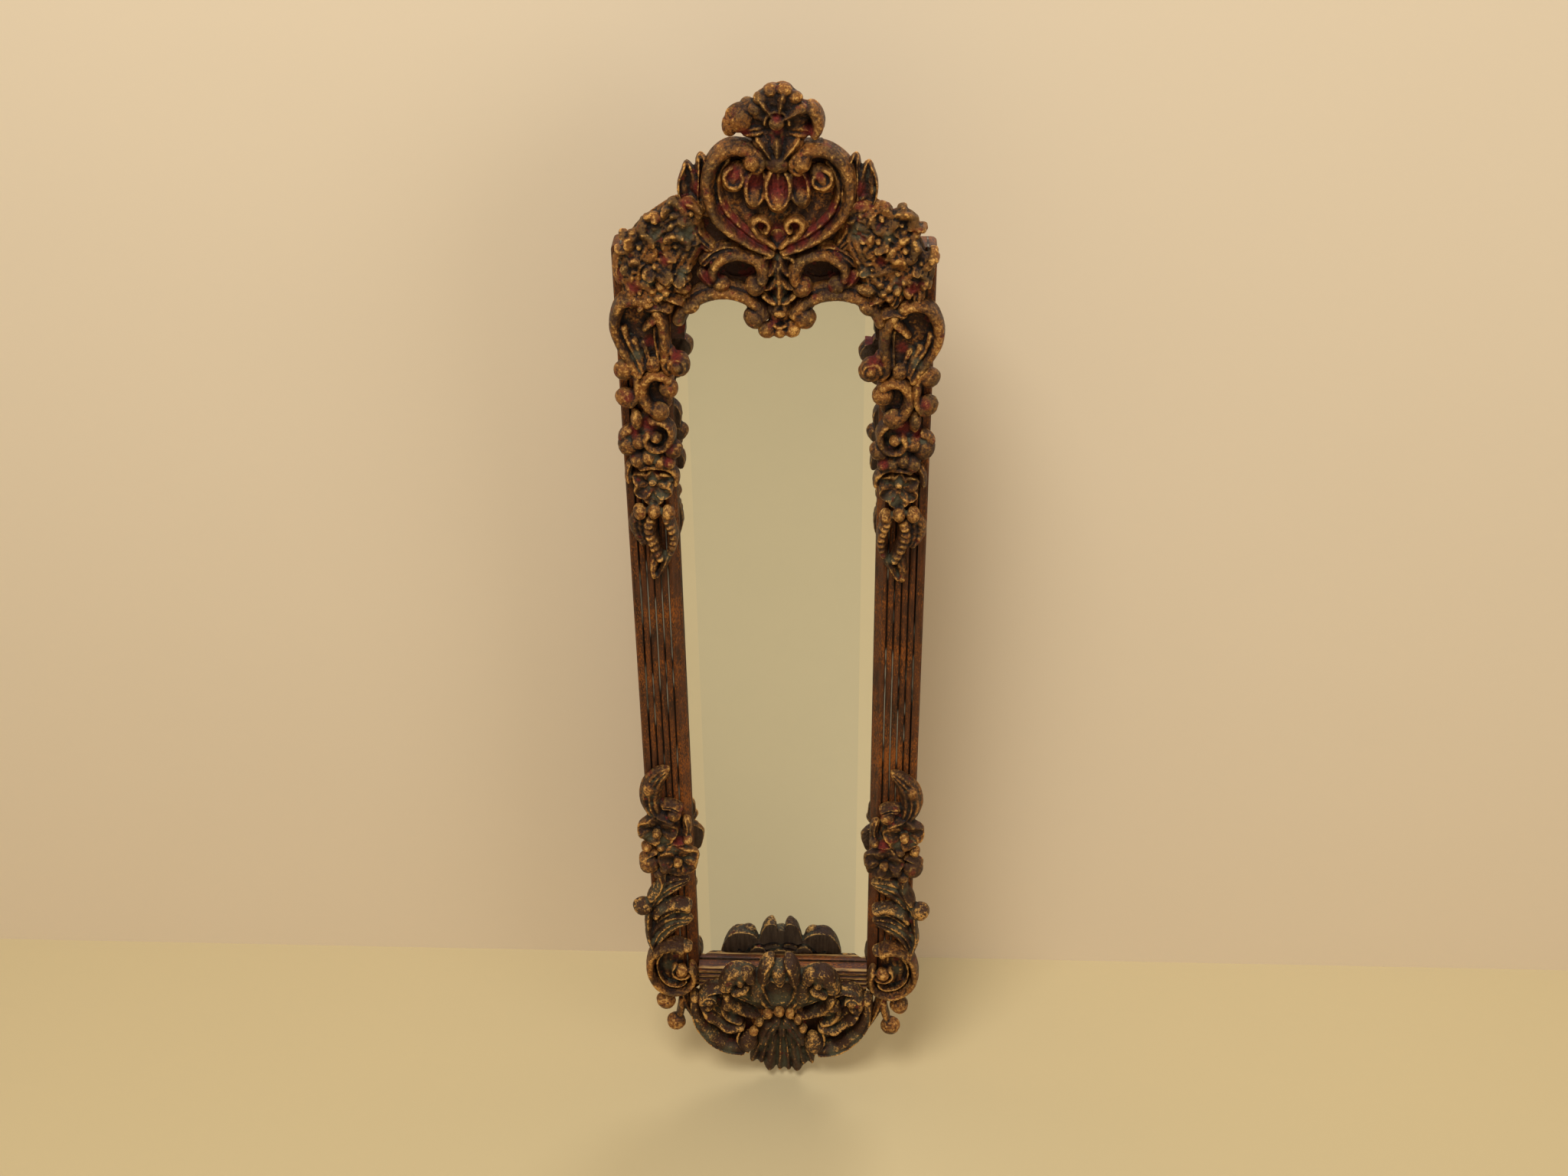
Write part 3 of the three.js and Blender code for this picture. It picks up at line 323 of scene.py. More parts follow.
def fused(name, carving):
    """One closed mesh round all the shells."""
    points, faces, start = [], [], 0
    for p, shell in carving.parts:
        points.append(np.stack([p[:, 0], GROUND_Y - p[:, 1], p[:, 2]], 1))
        faces += [tuple(i + start for i in f) for f in shell]
        start += len(p)
    mesh = bpy.data.meshes.new(name + "_shells")
    mesh.from_pydata((np.concatenate(points) * MM).tolist(), [], faces)
    shells = stand(name + "_shells", mesh)
    fuse = shells.modifiers.new("fuse", "REMESH")
    fuse.mode = "VOXEL"
    fuse.voxel_size = VOXEL * MM
    graph = bpy.context.evaluated_depsgraph_get()
    solid = bpy.data.meshes.new_from_object(shells.evaluated_get(graph))
    bpy.data.objects.remove(shells)
    bpy.data.meshes.remove(mesh)
    solid.name = name
    return solid


SWAY = 1.2  # how far the whole form wanders
RIDGE = 0.12  # height that counts as a full ridge
SWELL = 0.9  # height that counts as a full swelling


def wear(solid, seed, rough):
    """Makes the surface hand-carved and worn, stores how far it stands out, and gives its points."""
    v = np.empty(len(solid.vertices) * 3, np.float32)
    solid.vertices.foreach_get("co", v)
    v = v.reshape(-1, 3).astype(float) / MM
    pairs = np.empty(len(solid.edges) * 2, np.int32)
    solid.edges.foreach_get("vertices", pairs)
    edges = pairs[0::2], pairs[1::2]
    v = relax(v, edges, 2)
    free = np.clip((GROUND_Y + 0.5 - v[:, 1]) / 2, 0, 1)  # 0 at the back, 1 from 1.5 mm above the ground
    aside, up = lattice_noise(v, 0.045, 7 * seed), lattice_noise(v, 0.045, 7 * seed + 1)
    v = v + SWAY * np.stack([aside, np.zeros(len(v)), up], 1)
    normal = move(solid, v)
    dents = 0.6 * lattice_noise(v, 0.16, seed) + 0.4 * lattice_noise(v, 0.4, seed + 50)
    chips = 0.5 * lattice_noise(v, 0.9, seed + 90)
    v = v + normal * (rough * (1.6 * dents + 0.7 * chips) * free)[:, None]
    normal = move(solid, v)
    fine = relax(v, edges, 4)
    broad = relax(fine, edges, 36)
    store(solid, "ridge", np.einsum("ij,ij->i", v - fine, normal) / RIDGE)
    store(solid, "swell", np.einsum("ij,ij->i", v - broad, normal) / SWELL)
    return v


def drawn(draw, *more):
    """A new carving, filled by the drawing function."""
    c = Carving()
    draw(c, *more)
    return c


seeds = count(1)


def carve(name, carving, material, red=(), green=(), rough=0.34, node=None):
    """Stands the carved piece in for its CAD node, which has the same name unless another is given.
    red and green are spots of bare bole and of wash, as (x, z, radius)."""
    solid = fused("carved_" + name, carving)
    v = wear(solid, next(seeds), rough)
    store(solid, "bole", spots(v, red))
    store(solid, "wash", spots(v, green))
    solid.shade_smooth()
    solid.materials.append(material)
    piece = stand("carved_" + name, solid)
    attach(piece, "frame")
    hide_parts(node or name)


def both_sides(name, draw, centre, material, red=(), green=(), shift=(0, 0)):
    """The right piece as drawn, and its mirror image to the left, shifted as the hand-carved pair is."""
    carving = drawn(draw)
    flip = lambda places: [(2 * centre - x + shift[0], z + shift[1], r) for x, z, r in places]
    carve(name + "_right", carving, material, red, green)
    carve(name + "_left", carving.mirrored(centre, shift), material, flip(red), flip(green))


# ---- materials


class Nodes:
    """Short way to write a node tree."""

    def __init__(self, name):
        self.material = bpy.data.materials.new(name)
        self.material.use_nodes = True
        self.tree = self.material.node_tree
        self.tree.nodes.clear()

    def node(self, kind, settings=None, **inputs):
        """New node. An input is named, with _ for a space, or has i and its number."""
        n = self.tree.nodes.new("ShaderNode" + kind)
        for key, v in (settings or {}).items():
            setattr(n, key, v)
        for key, v in inputs.items():
            numbered = key[0] == "i" and key[1:].isdigit()
            self.put(n.inputs[int(key[1:]) if numbered else key.replace("_", " ")], v)
        return n

    def put(self, socket, v):
        if isinstance(v, bpy.types.NodeSocket):
            self.tree.links.new(v, socket)
        elif isinstance(v, tuple) and len(v) == 3 and socket.type == "RGBA":
            socket.default_value = (*v, 1)
        else:
            socket.default_value = v

    def math(self, operation, a, b=0.0, clamp=False):
        return self.node("Math", {"operation": operation, "use_clamp": clamp}, i0=a, i1=b).outputs[0]

    def times(self, a, b, clamp=False):
        return self.math("MULTIPLY", a, b, clamp)

    def plus(self, a, b, clamp=False):
        return self.math("ADD", a, b, clamp)

    def minus(self, a, b):
        return self.math("SUBTRACT", a, b)

    def most(self, a, b):
        return self.math("MAXIMUM", a, b)

    def ramp(self, v, low, high, out_low=0.0, out_high=1.0):
        """Smooth step from one number to another, while v goes from low to high."""
        n = self.node("MapRange", {"interpolation_type": "SMOOTHSTEP"}, Value=v)
        for key, x in (("From Min", low), ("From Max", high), ("To Min", out_low), ("To Max", out_high)):
            n.inputs[key].default_value = x
        return n.outputs[0]

    def mix(self, factor, a, b, kind="RGBA", first=6, out=2):
        n = self.node("Mix", {"data_type": kind})
        for socket, v in ((0, factor), (first, a), (first + 1, b)):
            self.put(n.inputs[socket], v)
        return n.outputs[out]

    def blend(self, factor, a, b):
        """Mix of two numbers."""
        return self.mix(factor, a, b, "FLOAT", 2, 0)

    def noise(self, scale, detail=3.0, roughness=0.55, stretch=(1, 1, 1), offset=0.0):
        coords = self.node("TexCoord").outputs["Object"]
        if stretch != (1, 1, 1):
            coords = self.node("Mapping", Vector=coords, Scale=stretch).outputs[0]
        n = self.node("TexNoise", {"noise_dimensions": "4D"} if offset else None, Vector=coords)
        for key, x in (("Scale", scale), ("Detail", detail), ("Roughness", roughness)):
            n.inputs[key].default_value = x
        if offset:
            n.inputs["W"].default_value = offset
        return n.outputs["Fac"]

    def attribute(self, name):
        return self.node("Attribute", {"attribute_name": name}).outputs["Fac"]

    def bump(self, height, strength, distance, normal=None):
        n = self.node("Bump", Height=height, Strength=strength, Distance=distance)
        if normal:
            self.put(n.inputs["Normal"], normal)
        return n.outputs[0]

    def finish(self, kind="BsdfPrincipled", **inputs):
        out = self.node("OutputMaterial")
        self.put(out.inputs[0], self.node(kind, **inputs).outputs[0])
        return self.material


# DARK is the near black of the carving's hollows, partly grime and partly painted shade, and the painted
# shade of the reeded grooves.
DARK = (0.0100, 0.0050, 0.0030)
BROWN = (0.050, 0.0190, 0.0070)
BRONZE = (0.250, 0.086, 0.0150)
OLIVE = (0.130, 0.066, 0.0190)
GOLD = (0.82, 0.43, 0.110)
BOLE = (0.190, 0.020, 0.0110)
WASH = (0.078, 0.068, 0.036)
CHALK = (0.80, 0.76, 0.66)
RAW_WOOD = (0.190, 0.110, 0.055)
PATINA = (0.024, 0.0080, 0.0030)
PATINA_WORN = (0.092, 0.0260, 0.0068)
COPPER = (0.300, 0.088, 0.0140)
# Gold of the reeds' crests, partly gilding and partly painted highlight.
REED_GOLD_AND_HIGHLIGHT = (0.50, 0.29, 0.090)
# Pale painted highlight down the middle of the reeded grooves.
GROOVE_HIGHLIGHT = (0.30, 0.27, 0.20)


def shade(colour, factor):
    return tuple(factor * c for c in colour)


def wood_back(m, colour, metal, rough):
    """Turns a finish into bare stained wood on faces that look at the wall."""
    normal = m.node("NewGeometry").outputs["Normal"]
    facing = m.ramp(m.node("SeparateXYZ", i0=normal).outputs["Y"], 0.6, 0.8)
    grain = m.noise(60, 4, 0.6, stretch=(6, 6, 0.6), offset=31)
    wood = m.mix(m.ramp(grain, 0.35, 0.65), shade(RAW_WOOD, 0.55), RAW_WOOD)
    return m.mix(facing, colour, wood), m.times(metal, m.minus(1.0, facing)), m.blend(facing, rough, 0.8)


def aged_gilt(name, gold, bronze, wash, red=0.5, offset=1.0):
    """Worn gilding: flakes of gold on the swellings, bronze between, a brown ground that darkens to near
    black in the hollows as grime and painted shade, green wash in the hollows, and red bole. Each share
    runs from 0 to about 1, and less than 0 leaves the colour out."""
    m = Nodes(name)
    painted_red = m.attribute("bole")
    cloud = m.noise(48, 4, 0.6, offset=offset)
    flake = m.noise(150, 4, 0.65, offset=offset + 5)
    grain = m.noise(430, 5, 0.7, offset=offset + 3)
    specks = m.noise(900, 3, 0.6, offset=offset + 7)
    relief = m.plus(m.times(m.attribute("ridge"), 0.16), m.times(m.attribute("swell"), 1.05))
    mottle = m.plus(m.times(grain, 5.6), m.times(flake, 2.8))
    mottle = m.plus(mottle, m.times(cloud, 3.0))
    worn = m.plus(relief, m.minus(mottle, 5.7))  # 5.7 is the mottle's mean
    # Brown on the swellings, near black in the hollows: partly grime, partly painted shade.
    to_brown = m.ramp(m.plus(relief, m.times(grain, 1.6)), 0.0, 1.1)
    to_bronze = m.ramp(worn, 0.55 - 1.3 * bronze, 1.35 - 1.3 * bronze)
    to_gold = m.ramp(worn, 1.45 - 1.3 * gold, 2.55 - 1.3 * gold)
    colour = m.mix(to_brown, DARK, BROWN)
    colour = m.mix(to_bronze, colour, m.mix(m.ramp(cloud, 0.38, 0.62), OLIVE, BRONZE))

    patch = m.plus(cloud, m.times(flake, 0.6))
    wash_patch = m.ramp(patch, 1.02 - 0.42 * wash, 1.16 - 0.42 * wash)
    hollow = m.ramp(relief, 0.5, -0.5)
    wash_mask = m.times(wash_patch, m.plus(0.25, m.times(hollow, 0.65)), clamp=True)
    painted_green = m.times(m.attribute("wash"), m.ramp(flake, 0.38, 0.54, 0.45, 1.0))
    wash_mask = m.most(wash_mask, painted_green)
    colour = m.mix(wash_mask, colour, WASH)

    bare = m.noise(90, 3, 0.6, offset=offset + 11)
    red_patch = m.ramp(bare, 0.64 - 0.1 * red, 0.70 - 0.1 * red)
    red_patch = m.times(red_patch, m.ramp(specks, 0.4, 0.6, 0.3, 0.85))
    red_mask = m.times(painted_red, m.ramp(grain, 0.3, 0.55, 0.55, 1.0))
    red_mask = m.times(m.most(red_mask, red_patch), m.ramp(worn, 2.2, 1.2))
    colour = m.mix(red_mask, colour, m.mix(m.ramp(grain, 0.35, 0.65), shade(BOLE, 0.45), BOLE))

    gold_mask = m.times(to_gold, m.minus(1.0, m.times(painted_red, 0.6)), clamp=True)
    colour = m.mix(gold_mask, colour, m.mix(m.ramp(specks, 0.35, 0.6), shade(GOLD, 0.55), GOLD))
    chalk = m.times(m.ramp(specks, 0.745, 0.76), m.ramp(worn, 0.8, 1.4))
    colour = m.mix(chalk, colour, CHALK)

    dull = m.most(wash_mask, red_mask)
    metal = m.plus(m.times(gold_mask, 0.45), m.times(to_bronze, 0.25), clamp=True)
    metal = m.times(metal, m.minus(1.0, dull), clamp=True)
    sheen = m.blend(dull, m.ramp(grain, 0.25, 0.75, 0.28, 0.55), 0.62)
    pits = m.bump(specks, 0.6, 0.0009)
    skin = m.bump(m.plus(grain, flake), 0.8, 0.0020, pits)
    colour, metal, sheen = wood_back(m, colour, metal, sheen)
    return m.finish(
        Base_Color=colour, Metallic=metal, Roughness=sheen, Normal=skin, Specular_IOR_Level=0.22
    )


GILT = aged_gilt("aged_gilt", gold=0.52, bronze=0.55, wash=0.15, offset=1.0)
CUPS = aged_gilt("bole_gilt", gold=0.60, bronze=0.60, wash=0.05, red=0.6, offset=4.0)
LEAF = aged_gilt("verdigris_gilt", gold=0.50, bronze=0.40, wash=0.50, offset=9.0)
UMBER = aged_gilt("umber_gilt", gold=0.56, bronze=0.45, wash=0.32, offset=14.0)
BLOOM = aged_gilt("bloom_gilt", gold=0.55, bronze=0.85, wash=0.35, red=0.6, offset=28.0)
FOOT = aged_gilt("dark_verdigris", gold=0.74, bronze=0.12, wash=0.66, red=0.2, offset=33.0)
SHADE = aged_gilt("dark_gilt", gold=0.20, bronze=-0.30, wash=0.75, red=0.1, offset=24.0)
RECESS = aged_gilt("dark_recess", gold=-0.6, bronze=-0.2, wash=0.1, red=0.9, offset=19.0)

# ---- crest


def heart_scroll(c):
    rim = [(5, 26), (14, 29), (26, 34), (38, 42), (49, 54), (54.5, 69), (55, 84), (50, 96.5), (39, 104.5),
           (27, 104), (18.5, 99)]
    c.sweep(rim, lambda t: 4.5 + 7.5 * np.clip(1.5 * t, 0, 1), bulge(13, 3), ends=(0.6, 0.4))
    inner = [(7, 32), (21, 38), (34.5, 48), (44, 61), (47.5, 76), (45, 89), (38, 97)]
    c.sweep(inner, (9.5, 7), (9, 7.5), keel, ends=(0.6, 0.6))
    c.sweep([(24, 103.5), (16.5, 100.5), (14, 94.5), (17.5, 89.5), (23, 90)], 7.5, 13)
    c.ball(21.5, 96.5, 9, 7.2, 8.2, swirl=0.06)


def heart_panel(c):
    c.sweep([(4, 34), (4, 60), (4, 96)], bulge(30, 62, 0.12, 0.62), 1.6, ends=(0.1, 0.1))
    for side in (-1, 1):
        at = lambda x, z: (CREST_X + side * x, z)
        c.sweep([at(8, 40), at(22, 51), at(31, 66), at(33, 80)], bulge(16, 5), (5.5, 3), ribbed(2, 0.22))
        c.sweep([at(3, 46), at(14, 58), at(17, 68)], 14, 4.0, ribbed(2))


def palmette(c):
    def cup(x, z, lean, wide, tall, rise):
        """Dished petal with a rolled lip, leaning by that many degrees."""
        co, si = turned(lean)
        at = lambda a, b: (x + a * co + b * si, z - a * si + b * co)
        c.ball(*at(0, -0.42 * tall), 1, 0.86 * wide, rise + 1, tall=0.62 * tall, lean=lean)
        c.sweep([at(0, 1.05 * tall), at(0, 0.4 * tall), at(0, -0.5 * tall)], 1.7 * wide, rise - 5,
                ribbed(4, 0.16), ends=(0.4, 0.4))
        round_lip = np.linspace(1.9, 7.5, 14)
        lip = [at(0.84 * wide * math.cos(a), tall * (0.2 + 0.82 * math.sin(a))) for a in round_lip]
        c.sweep(lip, bulge(3.6, 1.8), bulge(rise - 2, 3.5), ends=(1, 1), across=9)

    cup(4, 73, 0, 10.4, 17, 13)
    cup(20, 74.5, -13, 7.8, 15.5, 11)
    cup(-12.5, 74, 13, 8.2, 15, 11)
    for side in (-1, 1):
        x = CREST_X + side * 30.5
        c.ball(x, 83, 3, 9.4, 7, tall=12.5, lean=-34 * side)
        loop = coil(x + side * 0.5, 84, 7.4, 6.0, 100, -230, 10, side)
        c.sweep(loop, bulge(4.2, 1.6), 12.5, ends=(0.9, 0.9), across=9)
        c.ball(x + side * 0.6, 83, 7, 3.6, 4.4, tall=7, lean=-34 * side)


def horns(c):
    for side in (-1, 1):
        x = CREST_X + side * 11.5
        path = [(CREST_X + side * out, z) for out, z in ((0.5, 29), (7, 35), (14.5, 40))]
        ring = coil(x, 47.5, 6.2, 4.8, -45, 255, 9, side)
        c.sweep(path + ring, bulge(4.2, 2.2, 0.1), (9, 13), base=1)
    c.sweep([(4, 30), (4, 37), (4, 44)], (4, 16), 5, keel, base=1)


def finial(c):
    c.sweep([(4, 96), (4, 106), (4, 116), (4, 130)], lambda t: 18 + 46 * t**1.3, 9, ribbed(7, 0.12),
            ends=(0.3, 0.3))
    c.sweep([(-18, 126), (4, 130), (26, 124)], 24, 10, ends=(0.4, 0.4))
    fan = [(-58, 21, 18), (-34, 24, 17), (-11, 26, 18), (13, 27, 18), (36, 25, 17), (60, 22, 18)]
    for k, (lean, reach, wide) in enumerate(fan):
        at = lambda r: polar(4, 126, r, math.radians(90 - lean))
        c.sweep([at(1), at(0.5 * reach), at(reach)], (0.5 * wide, wide),
                lambda t: 12 + (4.5 + 1.5 * (k % 2)) * np.sin(2.3 * t), ribbed(1 + k % 2, 0.24),
                base=(-1, 1), ends=(0.4, 0.45))
        c.ball(*at(reach - 3), 9 + k % 2, 5.6, 6, tall=4.6)
    c.ball(-22.5, 128, 7, 10.5, 8.5, tall=11, swirl=0.07)
    c.ball(-29, 123, 7, 6, 6, tall=8)
    c.sweep([(-6, 130), (-14, 134), (-22, 138)], 11, 13, ribbed(2))
    c.sweep([(-4, 120), (-13, 119), (-22, 118)], 13, 12, ribbed(3))
    c.sweep([(10, 128), (19, 131), (28, 129)], (14, 22), 13, ribbed(4))
    c.sweep([(24, 137), (31, 131), (32, 121), (27, 114)], (12, 9), 14)
    c.sweep([(10, 119), (19, 119), (27, 118)], 15, 11, ribbed(3))
    c.ball(4, 126, 12, 5.8, 6, tall=5.2, swirl=0.15)
    c.sweep(coil(4, 126, 8.6, 8.6, 200, -20, 9), 4.4, 14.5, across=9)
    for lean, wide in ((-38, 13), (0, 14), (38, 13)):
        out = turned(lean)[1]
        c.sweep([(4 + 5 * out, 97), (4 + 15 * out, 107), (4 + 25 * out, 116)], (0.6 * wide, 1.1 * wide),
                bulge(13, 2), ribbed(2, 0.25))
    c.ball(4, 95, 7, 9, 7, tall=7.5)


def crest_leaf(c):
    c.sweep([(51, 58), (56, 76), (60, 101)], lambda t: 21 - 16 * t**2, (5.5, 7.5), cove, ends=(0.3, 0.9))
    c.sweep([(61, 58), (67, 76), (69.5, 95)], lambda t: 19 - 14 * t**2, (6.5, 7.5), cove, ends=(0.3, 0.9))
    for path in ([(50, 60), (50.5, 78), (58, 99)], [(60, 62), (61, 82), (60.5, 99)],
                 [(70, 60), (75, 76), (70, 93)]):
        c.sweep(path, 2.4, 9, ends=(0.9, 1.2), across=9)
    c.sweep([(52, 54), (62, 62), (70, 70)], 16, 7, ribbed(3, 0.25))


both_sides("heart_scroll", heart_scroll, CREST_X, GILT,
           red=[(12, 33, 6), (20, 38, 7), (29, 44, 7), (37, 52, 7), (43, 61, 6)])
carve("heart_panel", drawn(heart_panel), UMBER, red=[(4, 40, 9), (-8, 46, 6), (16, 46, 6)])
carve("palmette", drawn(palmette), CUPS, node="heart_palmette",
      red=[(4, 77, 11), (21, 81, 8.5), (-13, 81, 8.5), (-27, 88, 8), (34, 86, 4)])
carve("horns", drawn(horns), GILT, node="heart_horns", red=[(4, 38, 5)])
carve("finial", drawn(finial), GILT, node="plume_finial",
      red=[(4, 131, 4), (4, 120, 5), (-20, 119, 6), (26, 119, 6)])
both_sides("crest_leaf", crest_leaf, CREST_X, LEAF, red=[(61, 76, 7)])


def arch_scroll(c):
    c.sweep([(19.5, 0), (15.5, 10), (20, 20.5), (33, 25), (46, 21), (52.5, 12), (51, 3)], (12, 8.5),
            (15.5, 13.5))
    c.ball(21, -0.5, 7, 8.0, 8.5, swirl=0.08)
    c.ball(46.5, 1.5, 6, 6.8, 7.5, swirl=0.08)
    c.sweep([(30, 28), (42, 29), (54, 23), (62, 14)], (8, 12), 9, ribbed(3, 0.25))
    c.sweep([(52, -2), (58, 4), (63, 12)], 9, 9, ribbed(2, 0.25))


def clasp(c):
    c.sweep([(4, 24), (4, 8), (4, -14)], (20, 12), 7, ribbed(3))
    leaves = ((0, 18, -16, 9, 15), (1, 20, 2, 8, 13), (1, 9, -9, 8, 12.5))
    for side in (-1, 1):
        at = lambda x, z: (CREST_X + side * x, z)
        for spread, top, foot, wide, rise in leaves:
            if spread == 0 and side < 0:
                continue  # the middle leaf is drawn once
            c.sweep([at(1.5 * spread, top), at(7 * spread, 0.45 * top + 0.55 * foot),
                     at(13 * spread, foot + 7 * spread)], bulge(0.35 * wide, 0.8 * wide, 0.1, 0.8),
                    (rise, rise - 2.5), keel, across=13)
        c.sweep([at(2, 24), at(9, 23), at(13, 15), at(9, 10)], 5.5, 11, ends=(0.6, 0.6))
        c.sweep([at(1, -15), at(7, -12.5), at(13, -6)], 5.4, 11, across=11)


def pendant(c):
    c.sweep([(4, -12), (4, -24), (4, -34)], (23, 25), 11, ribbed(3, 0.22))
    for x, z, r in ((-5.5, -35, 7), (4, -36, 5.6), (13.5, -35, 7)):
        c.ball(x, z, 7.5, r, 7.5, swirl=0.12)
    c.ball(4, -21, 11, 4.6, 4, tall=3)
    c.sweep([(-2, -29), (4, -32), (10, -29)], 4, 14)


def arch_bead(c):
    c.sweep(coil(46, -42, 35.3, 35.3, 156, 14, 11), 10.6, 12.5, ends=(0.2, 0.2))
    c.sweep(coil(46, -42, 41.5, 41.5, 130, 34, 8), 6, 6.5, ribbed(2))
    c.ball(22.5, -26.5, 6, 9.2, 8.8, swirl=0.05)
    c.sweep([(30, -14), (23, -18), (19, -28)], 9, 11, ribbed(2))
    c.ball(69, -17, 11, 7, 4, tall=4.5, lean=35)


# Middle and radius of each flower
RIGHT_BLOOMS = [(63, 57, 9), (78, 55, 10), (93, 50, 9), (76, 38, 10), (96, 31, 11), (108, 20, 8),
                (91, 12, 10), (72, 16, 7), (105, 4, 8)]
LEFT_BLOOMS = [(-59, 58, 9), (-72, 56, 10), (-86, 47, 8), (-71, 33, 10), (-97, 33, 10), (-86, 17, 10),
               (-102, 12, 8), (-72, 12, 8), (-99, -4, 8)]


def spray(c, blooms, side, seed):
    rng = np.random.RandomState(seed)
    at = lambda x, z: (side * x, z)
    c.sweep([at(56, 56), at(74, 48), at(90, 34), at(98, 16), at(99, -4)], 32, 14, ribbed(6),
            ends=(0.3, 0.3))
    c.sweep([at(58, 44), at(68, 26), at(76, 8), at(80, -10)], 28, 13, ribbed(5))
    c.sweep([at(56, 54), at(57, 42), at(50, 32), at(44, 26)], (18, 11), 9, ribbed(4, 0.3))
    c.sweep([at(60, 34), at(62, 22), at(64, 12)], 12, 9, ribbed(3, 0.3))
    for i, (x, z, r) in enumerate(blooms):
        c.blossom(x, z, 9 + 2.5 * rng.rand(), 1.3 * r, petals=5 + i % 2, turn=rng.uniform(0, 1.2), eye=0.16,
                  cup=0.1, tilt=rng.uniform(-0.5, 0.5), ragged=0.5)
    for k in range(40):  # crumpled petals between the flowers
        x, z, r = blooms[k % len(blooms)]
        a, d = rng.uniform(0, 2 * math.pi), rng.uniform(0.3, 1.3) * r
        size, bend = rng.uniform(5, 10), rng.uniform(-1.2, 1.2)
        start = polar(x, z, d, a)
        middle = polar(*start, 0.5 * size, a)
        end = polar(*middle, 0.6 * size, a + bend)
        if abs(end[0]) > 50 and end[1] < 67:  # clear of the heart, and not above the flowers
            c.sweep([start, middle, end], rng.uniform(6, 11), rng.uniform(11, 17),
                    pillow if k % 3 else ribbed(2, 0.25), base=2, ends=(0.5, 0.6), across=9)
    for x, z in ((80, -4), (85, -8), (84, 0), (90, -3), (78, 3)):
        c.ball(side * x, z, 9, 4.2, 6.5, swirl=0.15)
    c.sweep([at(92, -4), at(91, -11), at(87, -18)], (14, 10), 13, ribbed(3, 0.25))
    c.sweep([at(104, 0), at(106, -11), at(103, -20)], (15, 11), 11, ribbed(3, 0.25))
    c.sweep([at(84, -9), at(75, -12), at(66, -17)], (11, 8), 13, ribbed(2, 0.25))
    c.sweep([at(112, 24), at(113, 12), at(110, -2)], 12, 7, ribbed(3, 0.25))
    c.ball(side * 68, -1.5, 8, 7.5, 7, tall=5)


for side_name, blooms, sign, seed in (("right", RIGHT_BLOOMS, 1, 11), ("left", LEFT_BLOOMS, -1, 23)):
    carve("spray_" + side_name, drawn(spray, blooms, sign, seed), BLOOM,
          node="flower_spray_" + side_name,
          red=[(sign * 103, 0, 7), (sign * 62, 66, 6), (sign * 79, 22, 5)],
          green=[(sign * 62, 44, 9), (sign * 84, 42, 6), (sign * 66, 12, 6), (sign * 92, 5, 6)], rough=0.62)

both_sides("arch_scroll", arch_scroll, CREST_X, GILT, red=[(57, 6, 7), (40, -1, 5)])
carve("clasp", drawn(clasp), LEAF, node="centre_clasp")
carve("pendant", drawn(pendant), GILT, node="arch_pendant")
both_sides("arch_bead", arch_bead, CREST_X, GILT)

# ---- upper stiles


def husk(c):
    c.sweep([(99, -22), (100, -50), (98, -84)], 40, 2.6, ends=(0.1, 0.2))
    c.sweep([(92, -21), (104, -15.5), (115, -18), (121, -28), (122.5, -42), (118.5, -56), (111, -69),
             (103.5, -82)], (12, 7), (15, 12), ends=(0.5, 0.6))
    c.sweep([(116.5, -38), (113, -52), (107, -64), (102, -78)], (5.4, 4.4), 10)
    c.sweep([(110, -49), (105, -61), (100, -76)], (6, 4.5), 8.5)
    c.sweep([(103, -52), (99, -62), (97, -74)], (7, 5), 7, veined(4, 0.4))
    c.sweep([(78, -27), (90, -22), (100, -25)], 12, 13, ribbed(2))
    c.sweep([(86, -26), (93, -33), (101.5, -43)], (11, 5), (13, 11), ends=(0.3, 0.9))
    c.ball(94.5, -71, 6, 6.0, 5, tall=7)
    c.sweep([(82, -77), (94, -81), (106, -85)], 11, 6, ribbed(2))


def inner_stem(c):
    c.sweep([(91, -22), (84.5, -33), (83, -46), (83, -58), (83.5, -70), (79, -79)], (10, 9), (14, 11))
    c.sweep([(90, -36), (89.5, -48), (89, -62), (90, -72)], 3, 8)
    c.ball(72.8, -69, 6, 9.6, 10, swirl=0.04)
    c.sweep(coil(72.8, -69, 7.6, 4.4, -30, 300, 10), 4.4, (14, 16.5))
    c.ball(72.6, -68.5, 14, 3.8, 4.4)
    c.sweep([(80, -56), (77, -66), (80, -78)], 6, 10)


def outer_curl(c):
    c.sweep([(118, -68), (110.5, -75), (107.5, -86), (109, -98), (117, -107)], bulge(10, -2), 12.5)
    c.ball(117, -75, 6, 8.8, 8)
    c.ball(117, -99, 6, 8.6, 8, swirl=0.05)
    c.sweep([(103, -82), (103, -96), (105, -108)], 7, 7, ribbed(2))


def inner_curl(c):
    c.sweep([(92, -84), (92, -100), (92, -116)], 24, 3)
    c.sweep([(80, -88), (85, -81.5), (94, -80), (101, -87), (102, -98), (98, -107), (91, -113)],
            (9.6, 10.8), 13)
    c.ball(82, -91, 6, 8.2, 8)
    c.ball(90.5, -111, 7, 8.4, 7.5, swirl=0.06)


